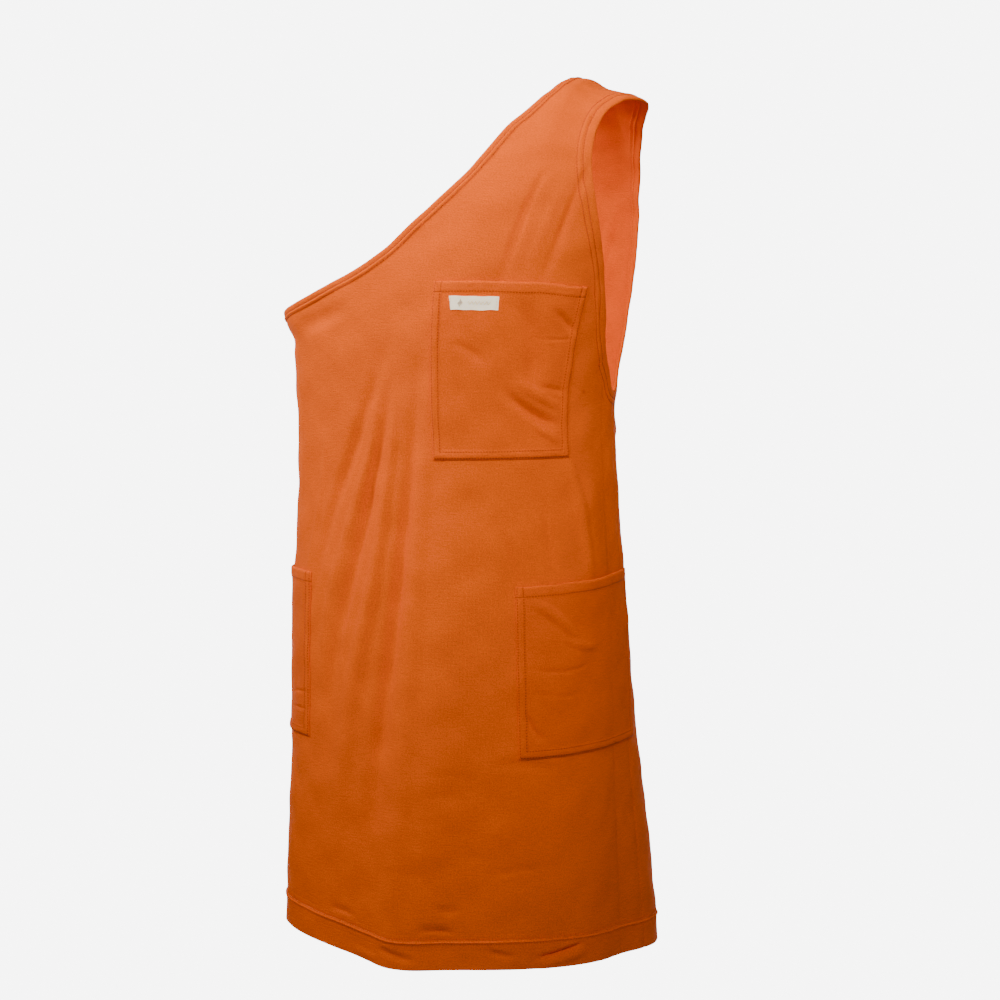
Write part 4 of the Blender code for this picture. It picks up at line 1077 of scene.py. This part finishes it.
def jersey_material(name, colour, wale, pitch=0.0, rows=(), mouth=0.0, depth=0.7):
    """Piece-dyed cotton single jersey with a soft nap: matt, a little uneven in dye, with short level slubs.

    The UV map is in metres, so each scale is one over a size. Wales are the knit's upright columns of loops
    and courses its level rows. Real ones are 0.7 and 0.5 mm wide. They are drawn at the wale size given, as
    coarse as they need to be to show from a step away. Needle rows lie at distances kept in the attributes
    "edge" and "mouth". Along each, the cloth is darkened with painted shade where the row's groove lies, most
    at each needle hole, a pitch apart; depth sets how dark the painted shade is.
    """
    material, tree, shader = new_material(name)
    flat = add_node(tree, "ShaderNodeUVMap", {"uv_map": "cloth"}).outputs["UV"]

    # Loops of the knit: waves across, and waves up that the waves across shift as V-shaped loops are
    loops = (1.0 / wale, 1.3 / wale, 1.0)
    scaled = add_node(tree, "ShaderNodeMapping", links={"Vector": flat, "Scale": loops})
    split = add_node(tree, "ShaderNodeSeparateXYZ", links={0: scaled.outputs[0]})
    whole_turn = 2.0 * np.pi
    turn_x = add_node(tree, "ShaderNodeMath", {"operation": "MULTIPLY"},
                      {0: split.outputs["X"], 1: whole_turn})
    wave_x = add_node(tree, "ShaderNodeMath", {"operation": "COSINE"}, {0: turn_x.outputs[0]})
    turn_y = add_node(tree, "ShaderNodeMath", {"operation": "MULTIPLY"},
                      {0: split.outputs["Y"], 1: whole_turn})
    slant = add_node(tree, "ShaderNodeMath", {"operation": "MULTIPLY_ADD"},
                     {0: wave_x.outputs[0], 1: 1.4, 2: turn_y.outputs[0]})
    wave_y = add_node(tree, "ShaderNodeMath", {"operation": "SINE"}, {0: slant.outputs[0]})
    knit = add_node(tree, "ShaderNodeMath", {"operation": "MULTIPLY_ADD"},
                    {0: wave_y.outputs[0], 1: 0.6, 2: wave_x.outputs[0]})

    # Nap and fibre ends, about 1.2 mm; slubs about 9 mm long and 1.6 mm high; dye clouds about 35 mm across
    nap_place = add_node(tree, "ShaderNodeMapping", links={"Vector": flat, "Scale": (820.0, 900.0, 1.0)})
    nap = add_node(tree, "ShaderNodeTexNoise", {"noise_dimensions": "2D"},
                   {"Vector": nap_place.outputs[0], "Scale": 1.0, "Detail": 2.0, "Roughness": 0.6})
    slub_place = add_node(tree, "ShaderNodeMapping", links={"Vector": flat, "Scale": (110.0, 640.0, 1.0)})
    slub = add_node(tree, "ShaderNodeTexNoise", {"noise_dimensions": "2D"},
                    {"Vector": slub_place.outputs[0], "Scale": 1.0, "Detail": 2.0, "Roughness": 0.5})
    dye_place = add_node(tree, "ShaderNodeMapping", links={"Vector": flat, "Scale": (28.0, 32.0, 1.0)})
    dye = add_node(tree, "ShaderNodeTexNoise", {"noise_dimensions": "2D"},
                   {"Vector": dye_place.outputs[0], "Scale": 1.0, "Detail": 3.0, "Roughness": 0.55})
    mixed = add_node(tree, "ShaderNodeMath", {"operation": "MULTIPLY_ADD"},
                     {0: slub.outputs[0], 1: 0.28, 2: nap.outputs[0]})
    mixed = add_node(tree, "ShaderNodeMath", {"operation": "MULTIPLY_ADD"},
                     {0: dye.outputs[0], 1: 0.22, 2: mixed.outputs[0]})
    mixed = add_node(tree, "ShaderNodeMath", {"operation": "MULTIPLY_ADD"},
                     {0: knit.outputs[0], 1: 0.035, 2: mixed.outputs[0]})
    tone = add_node(tree, "ShaderNodeMapRange", {"clamp": True},
                    {"Value": mixed.outputs[0], "From Min": 0.45, "From Max": 1.05, "To Min": 0.0,
                     "To Max": 1.0})
    ramp = add_node(tree, "ShaderNodeValToRGB", links={"Fac": tone.outputs[0]})
    ramp.color_ramp.elements[0].color = tint(colour, 0.80)
    ramp.color_ramp.elements[1].color = tint(colour, 1.14)
    cloth = ramp.outputs["Color"]
    # Painted shade along the needle rows: near each row the cloth is mixed towards a darker colour, most at
    # the needle holes, in place of the shadow in the row's groove
    lines = [("edge", row) for row in rows] + [("mouth", mouth)] * (mouth > 0.0)
    if lines:
        near = None
        for key, row in lines:
            across = add_node(tree, "ShaderNodeAttribute", {"attribute_name": key}).outputs["Fac"]
            away = add_node(tree, "ShaderNodeMath", {"operation": "SUBTRACT"}, {0: across, 1: row})
            away = add_node(tree, "ShaderNodeMath", {"operation": "ABSOLUTE"}, {0: away.outputs[0]})
            line = add_node(tree, "ShaderNodeMapRange", {"interpolation_type": "SMOOTHSTEP"},
                            {"Value": away.outputs[0], "From Min": 0.0, "From Max": 0.00085, "To Min": 1.0,
                             "To Max": 0.0}).outputs[0]
            near = line if near is None else add_node(tree, "ShaderNodeMath", {"operation": "MAXIMUM"},
                                                      {0: near, 1: line}).outputs[0]
        run = add_node(tree, "ShaderNodeAttribute", {"attribute_name": "run"}).outputs["Fac"]
        beat = add_node(tree, "ShaderNodeMath", {"operation": "MULTIPLY"}, {0: run, 1: 2.0 * np.pi / pitch})
        beat = add_node(tree, "ShaderNodeMath", {"operation": "COSINE"}, {0: beat.outputs[0]})
        # Painted shade is strongest at each needle hole, a pitch apart, and depth sets how dark it gets
        painted_hole_shade = add_node(tree, "ShaderNodeMath", {"operation": "MULTIPLY_ADD", "use_clamp": True},
                         {0: beat.outputs[0], 1: 0.45 * depth, 2: 0.55 * depth})
        share = add_node(tree, "ShaderNodeMath", {"operation": "MULTIPLY"}, {0: near, 1: painted_hole_shade.outputs[0]})
        # Darker colour that the painted groove shade mixes towards
        deep = tint(colour, 0.32, 0.20, 0.20)
        cloth = add_node(tree, "ShaderNodeMix", {"data_type": "RGBA"},
                         {"Factor": share.outputs[0], 6: cloth, 7: deep}).outputs[2]
    tree.links.new(cloth, shader.inputs["Base Color"])

    relief = add_node(tree, "ShaderNodeMath", {"operation": "MULTIPLY_ADD"},
                      {0: nap.outputs[0], 1: 1.6, 2: slub.outputs[0]})
    relief = add_node(tree, "ShaderNodeMath", {"operation": "MULTIPLY_ADD"},
                      {0: knit.outputs[0], 1: 0.22, 2: relief.outputs[0]})
    surface = add_node(tree, "ShaderNodeBump", links={"Height": relief.outputs[0], "Strength": 0.55,
                                                      "Distance": 0.00035})
    tree.links.new(surface.outputs["Normal"], shader.inputs["Normal"])
    set_inputs(shader, {"Roughness": 0.93, "IOR": 1.45, "Specular IOR Level": 0.10, "Sheen Weight": 0.04,
                        "Sheen Roughness": 0.55, "Sheen Tint": hex_colour("#FF9A4A")})
    return material


def thread_material(name, colour):
    """Spun polyester-cotton sewing thread: slightly smoother than the cloth, and uneven as its twist is."""
    material, tree, shader = new_material(name)
    place = add_node(tree, "ShaderNodeTexCoord").outputs["Object"]
    fibre = add_node(tree, "ShaderNodeTexNoise", links={"Vector": place, "Scale": 1600.0, "Detail": 2.0})
    ramp = add_node(tree, "ShaderNodeValToRGB", links={"Fac": fibre.outputs[0]})
    ramp.color_ramp.elements[0].position = 0.3
    ramp.color_ramp.elements[0].color = tint(colour, 0.72)
    ramp.color_ramp.elements[1].position = 0.7
    ramp.color_ramp.elements[1].color = tuple(colour)
    tree.links.new(ramp.outputs["Color"], shader.inputs["Base Color"])
    set_inputs(shader, {"Roughness": 0.7, "IOR": 1.5, "Specular IOR Level": 0.3, "Sheen Weight": 0.1})
    return material


def label_material(colour):
    """Bleached woven polyester tape: a fine over-and-under weave, faintly silky, made brighter by a painted
    glow of its own colour.

    Its yarns are 0.25 mm wide in life and drawn 1.2 mm wide so that they show.
    """
    material, tree, shader = new_material("woven_label_tape")
    flat = add_node(tree, "ShaderNodeUVMap", {"uv_map": "cloth"}).outputs["UV"]
    scale = (1.0 / 0.0012, 1.0 / 0.0012, 1.0)
    yarns = add_node(tree, "ShaderNodeMapping", links={"Vector": flat, "Scale": scale})
    weave = add_node(tree, "ShaderNodeTexChecker",
                     links={"Vector": yarns.outputs[0], "Scale": 1.0, "Color1": (0.0, 0.0, 0.0, 1.0),
                            "Color2": (1.0, 1.0, 1.0, 1.0)})
    grey = add_node(tree, "ShaderNodeTexNoise", {"noise_dimensions": "2D"},
                    {"Vector": yarns.outputs[0], "Scale": 0.6, "Detail": 2.0})
    mixed = add_node(tree, "ShaderNodeMath", {"operation": "MULTIPLY_ADD"},
                     {0: weave.outputs["Fac"], 1: 0.25, 2: grey.outputs[0]})
    ramp = add_node(tree, "ShaderNodeValToRGB", links={"Fac": mixed.outputs[0]})
    ramp.color_ramp.elements[0].position = 0.25
    ramp.color_ramp.elements[0].color = tint(colour, 0.84)
    ramp.color_ramp.elements[1].position = 0.85
    ramp.color_ramp.elements[1].color = tuple(colour)
    tree.links.new(ramp.outputs["Color"], shader.inputs["Base Color"])
    # Painted light: the tape glows with its own colour, brighter than the lamps alone light it
    tree.links.new(ramp.outputs["Color"], shader.inputs["Emission Color"])
    surface = add_node(tree, "ShaderNodeBump",
                       links={"Height": mixed.outputs[0], "Strength": 0.3, "Distance": 0.0001})
    tree.links.new(surface.outputs["Normal"], shader.inputs["Normal"])
    # Strength of the label's painted glow
    set_inputs(shader, {"Emission Strength": 0.55, "Roughness": 0.6, "IOR": 1.5, "Specular IOR Level": 0.3})
    return material


def floor_material(colour):
    """Painted studio floor: plain, pale and matt, with a trace of roller texture about 3 mm apart."""
    material, tree, shader = new_material("painted_studio_floor")
    place = add_node(tree, "ShaderNodeTexCoord").outputs["Object"]
    roller = add_node(tree, "ShaderNodeTexNoise", links={"Vector": place, "Scale": 330.0, "Detail": 2.0})
    surface = add_node(tree, "ShaderNodeBump", links={"Height": roller.outputs[0], "Strength": 0.05,
                                                      "Distance": 0.0005})
    tree.links.new(surface.outputs["Normal"], shader.inputs["Normal"])
    set_inputs(shader, {"Base Color": tuple(colour), "Roughness": 0.9})
    return material


# Operators


class ROBE_OT_panels(bpy.types.Operator):
    """Make the front and the back, with the seams of their hems"""
    bl_idname = "robe.panels"
    bl_label = "Panels and Hems"

    def execute(self, context):
        sizes, colours = context.scene.robe_sizes, context.scene.robe_colours
        jersey = jersey_material("cotton_jersey_panels", colours.jersey, 0.0011)
        # The hem seam's cloth gets faint painted shade along its needle rows (depth 0.05)
        seam = jersey_material("cotton_jersey_hem_seam", colours.jersey, 0.0011, sizes.stitch_pitch,
                               HEM_NEEDLES, depth=0.05)
        front = make_panel("front_cloth", "front_panel", -1, sizes, jersey)
        back = make_panel("back_cloth", "back_panel", 1, sizes, jersey)
        front_seam = make_hem_seam("front_hem_seam", -1, sizes, seam)
        back_seam = make_hem_seam("back_hem_seam", 1, sizes, seam)
        return {"FINISHED"}


class ROBE_OT_bindings(bpy.types.Operator):
    """Make the folded strips round the neck and the armhole"""
    bl_idname = "robe.bindings"
    bl_label = "Bindings"

    def execute(self, context):
        sizes, colours = context.scene.robe_sizes, context.scene.robe_colours
        pitch = sizes.stitch_pitch
        # The bindings' cloth gets painted shade along its needle rows, as dark as depth says
        neck_jersey = jersey_material("cotton_jersey_neck", colours.binding, 0.0010, pitch, NECK_NEEDLES,
                                      depth=0.35)
        arm_jersey = jersey_material("cotton_jersey_armhole", colours.binding, 0.0010, pitch, ARMHOLE_NEEDLES,
                                     depth=0.30)
        neck = make_binding("neck_strip", "neck_binding", (NECK_FRONT, NECK_BACK), sizes.neck_width,
                            sizes.neck_wall, NECK_NEEDLES, sizes, neck_jersey)
        armhole = make_binding("armhole_strip", "armhole_binding", (ARMHOLE_FRONT, ARMHOLE_BACK),
                               sizes.armhole_width, sizes.armhole_wall, ARMHOLE_NEEDLES, sizes, arm_jersey)
        return {"FINISHED"}


class ROBE_OT_pockets(bpy.types.Operator):
    """Make the chest pocket and the two side pockets"""
    bl_idname = "robe.pockets"
    bl_label = "Pockets"

    def execute(self, context):
        sizes, colours = context.scene.robe_sizes, context.scene.robe_colours
        # The pockets' cloth gets painted shade along its needle rows and mouth row, at the default depth
        jersey = jersey_material("cotton_jersey_pockets", colours.pocket, 0.0011, sizes.stitch_pitch,
                                 POCKET_NEEDLES, sizes.pocket_hem)
        flats = {"chest_pocket": (0.130, 0.152), "left_side_pocket": (0.165, 0.150),
                 "right_side_pocket": (0.165, 0.150)}
        for name, flat in flats.items():
            make_pocket(name, sizes, jersey)
        return {"FINISHED"}


class ROBE_OT_label(bpy.types.Operator):
    """Make the woven label on the chest pocket"""
    bl_idname = "robe.label"
    bl_label = "Label"

    def execute(self, context):
        sizes, colours = context.scene.robe_sizes, context.scene.robe_colours
        tape = make_label(sizes, label_material(colours.label))
        return {"FINISHED"}


class ROBE_OT_sewing(bpy.types.Operator):
    """Sew every seam that shows with separate stitches"""
    bl_idname = "robe.sewing"
    bl_label = "Sewing"

    def execute(self, context):
        sizes, colours = context.scene.robe_sizes, context.scene.robe_colours
        thread = thread_material("spun_orange_thread", colours.thread)
        neck = binding_lines((NECK_FRONT, NECK_BACK), sizes.neck_wall, NECK_NEEDLES)
        armhole = binding_lines((ARMHOLE_FRONT, ARMHOLE_BACK), sizes.armhole_wall, ARMHOLE_NEEDLES)
        stitches("neck_stitches", neck, sizes, thread)
        stitches("armhole_stitches", armhole, sizes, thread)
        pale = thread_material("spun_pale_orange_thread", colours.hem_thread)
        stitches("hem_stitches", hem_lines(-1, sizes) + hem_lines(1, sizes), sizes, pale)
        for name in POCKETS:
            stitches(name + "_stitches", pocket_lines(name, sizes), sizes, thread)
        stitches("label_stitches", label_lines(sizes), sizes, thread)
        ochre = thread_material("spun_ochre_thread", colours.mark)
        stitches("label_mark", mark_lines(sizes), sizes, ochre, pitch=MARK_PITCH)
        return {"FINISHED"}


class ROBE_OT_stage(bpy.types.Operator):
    """Lay the floor, hang the soft lights and set up the camera"""
    bl_idname = "robe.stage"
    bl_label = "Stage"

    def execute(self, context):
        colours = context.scene.robe_colours
        angle = np.radians(np.arange(0.0, 360.0, 3.0))
        circle = np.stack((np.cos(angle), np.sin(angle), np.zeros_like(angle)), -1)
        points = circle * FLOOR_RADIUS + (BODY_AXIS_X, 0.0, FLOOR_Z)
        mesh = bpy.data.meshes.new("studio_floor")
        mesh.from_pydata(points.tolist(), [], [tuple(range(len(angle)))])
        mesh.materials.append(floor_material(colours.floor))
        floor = bpy.data.objects.new("studio_floor", mesh)
        context.scene.collection.objects.link(floor)
        for light in LIGHTS:
            make_light(*light)
        make_air(make_camera())
        return {"FINISHED"}


# Height of the floor, as far below the shoulder as when the robe is worn, and its radius
FLOOR_Z = -1.38
FLOOR_RADIUS = 1.9
# Brightness of the studio's air all round, and of the lit white paper behind the robe
AIR_STRENGTH = 0.16
PAPER_STRENGTH = 7.0
# Half angles within which the paper is fully bright, and beyond which it isn't seen
PAPER_ANGLES = (17.0, 36.0)
# name, place, aim, size, spread_degrees, watts
LIGHTS = (
    ("key_softbox", (-1.30, -0.75, 0.75), (-0.22, -0.08, -0.09), 0.60, 52.0, 3.0),
    ("front_softbox", (0.10, -1.60, 0.85), (-0.13, -0.10, -0.04), 0.60, 48.0, 1.6),
    ("fill_softbox", (0.85, -0.80, 0.70), (-0.04, -0.05, -0.13), 0.60, 46.0, 1.5),
    ("side_softbox", (-1.60, 1.50, 0.60), (-0.15, 0.0, -0.35), 1.00, 180.0, 6.0),
)
CAMERA_AZIMUTH = 32.0
CAMERA_DISTANCE = 2.2
CAMERA_HEIGHT = -0.2215
FOCAL_PIXELS = 2420.0
SENSOR_WIDTH = 36.0
PHOTO_WIDTH = 1000.0
AXIS_PIXEL = 460.0
EYE_PIXEL = 345.0


def aim_matrix(place, forward, up_hint=(0.0, 0.0, 1.0)):
    """World matrix of a light or camera at a place that looks along forward, its -Z axis."""
    forward = np.array(forward, float) / np.linalg.norm(forward)
    right = np.cross(forward, up_hint)
    right /= np.linalg.norm(right)
    up = np.cross(right, forward)
    matrix = np.eye(4)
    matrix[:3, 0], matrix[:3, 1], matrix[:3, 2], matrix[:3, 3] = right, up, -forward, place
    return Matrix(matrix.tolist())


def make_light(name, place, aim, size, spread, watts):
    """A square softbox; its grid keeps the light within the spread."""
    data = bpy.data.lights.new(name, "AREA")
    data.size, data.spread, data.energy = size, np.radians(spread), watts
    light = bpy.data.objects.new(name, data)
    light.matrix_world = aim_matrix(place, np.subtract(aim, place))
    bpy.context.scene.collection.objects.link(light)


def make_air(heading):
    """Plain pale air with a patch of lit white paper that stands in one heading.

    Its strength goes from the air's to the paper's as a smooth step of the cosine of the heading's angle.
    """
    world = bpy.data.worlds.new("studio_air")
    world.use_nodes = True
    tree = world.node_tree
    place = add_node(tree, "ShaderNodeTexCoord").outputs["Generated"]
    facing = add_node(tree, "ShaderNodeVectorMath", {"operation": "DOT_PRODUCT"},
                      {0: place, 1: tuple(heading)})
    inner, outer = np.cos(np.radians(PAPER_ANGLES))
    strength = add_node(tree, "ShaderNodeMapRange", {"interpolation_type": "SMOOTHSTEP"},
                        {"Value": facing.outputs["Value"], "From Min": float(outer), "From Max": float(inner),
                         "To Min": AIR_STRENGTH, "To Max": PAPER_STRENGTH})
    tree.links.new(strength.outputs["Result"], tree.nodes["Background"].inputs["Strength"])
    tree.nodes["Background"].inputs["Color"].default_value = hex_colour("#FFFFFF")
    bpy.context.scene.world = world


def make_camera():
    """The camera at the photograph's angle.

    It stands at the eye height on a circle round the body's axis, turned right so that the axis falls on its
    pixel and tipped down so that the eye level falls on its own.
    """
    azimuth = np.radians(CAMERA_AZIMUTH)
    across = np.array((np.cos(azimuth), np.sin(azimuth), 0.0))
    back = np.array((np.sin(azimuth), -np.cos(azimuth), 0.0))
    place = back * CAMERA_DISTANCE + (BODY_AXIS_X, 0.0, CAMERA_HEIGHT)
    yaw = np.arctan((PHOTO_WIDTH / 2.0 - AXIS_PIXEL) / FOCAL_PIXELS)
    pitch = np.arctan((PHOTO_WIDTH / 2.0 - EYE_PIXEL) / FOCAL_PIXELS)
    level = -back * np.cos(yaw) + across * np.sin(yaw)
    forward = level * np.cos(pitch) - np.array((0.0, 0.0, 1.0)) * np.sin(pitch)
    data = bpy.data.cameras.new("photo_camera")
    data.sensor_width = SENSOR_WIDTH
    data.lens = FOCAL_PIXELS * SENSOR_WIDTH / PHOTO_WIDTH
    data.clip_end = 100.0
    camera = bpy.data.objects.new("photo_camera", data)
    camera.matrix_world = aim_matrix(place, forward)
    bpy.context.scene.collection.objects.link(camera)
    bpy.context.scene.camera = camera
    return forward.tolist()


class ROBE_PT_sidebar(bpy.types.Panel):
    """Lists the robe's sizes, colours and pieces in the 3D view's sidebar"""
    bl_idname = "ROBE_PT_sidebar"
    bl_label = "Shoulder Robe"
    bl_space_type = "VIEW_3D"
    bl_region_type = "UI"
    bl_category = "Robe"

    def draw(self, context):
        layout = self.layout
        for group in (context.scene.robe_sizes, context.scene.robe_colours):
            column = layout.column(align=True)
            for name in group.__annotations__:
                column.prop(group, name)
        for operator in OPERATORS:
            layout.operator(operator.bl_idname)


OPERATORS = (ROBE_OT_panels, ROBE_OT_bindings, ROBE_OT_pockets, ROBE_OT_label, ROBE_OT_sewing, ROBE_OT_stage)
CLASSES = (RobeSizes, RobeColours, *OPERATORS, ROBE_PT_sidebar)


def register():
    """Register the classes and hang their settings on the scene."""
    for item in CLASSES:
        bpy.utils.register_class(item)
    bpy.types.Scene.robe_sizes = PointerProperty(type=RobeSizes)
    bpy.types.Scene.robe_colours = PointerProperty(type=RobeColours)


def unregister():
    """Take the settings and the classes away again."""
    del bpy.types.Scene.robe_colours
    del bpy.types.Scene.robe_sizes
    for item in reversed(CLASSES):
        bpy.utils.unregister_class(item)


def main():
    """Make every piece in order."""
    register()
    bpy.ops.robe.panels()
    bpy.ops.robe.bindings()
    bpy.ops.robe.pockets()
    bpy.ops.robe.label()
    bpy.ops.robe.sewing()
    bpy.ops.robe.stage()


if __name__ == "__main__":
    main()
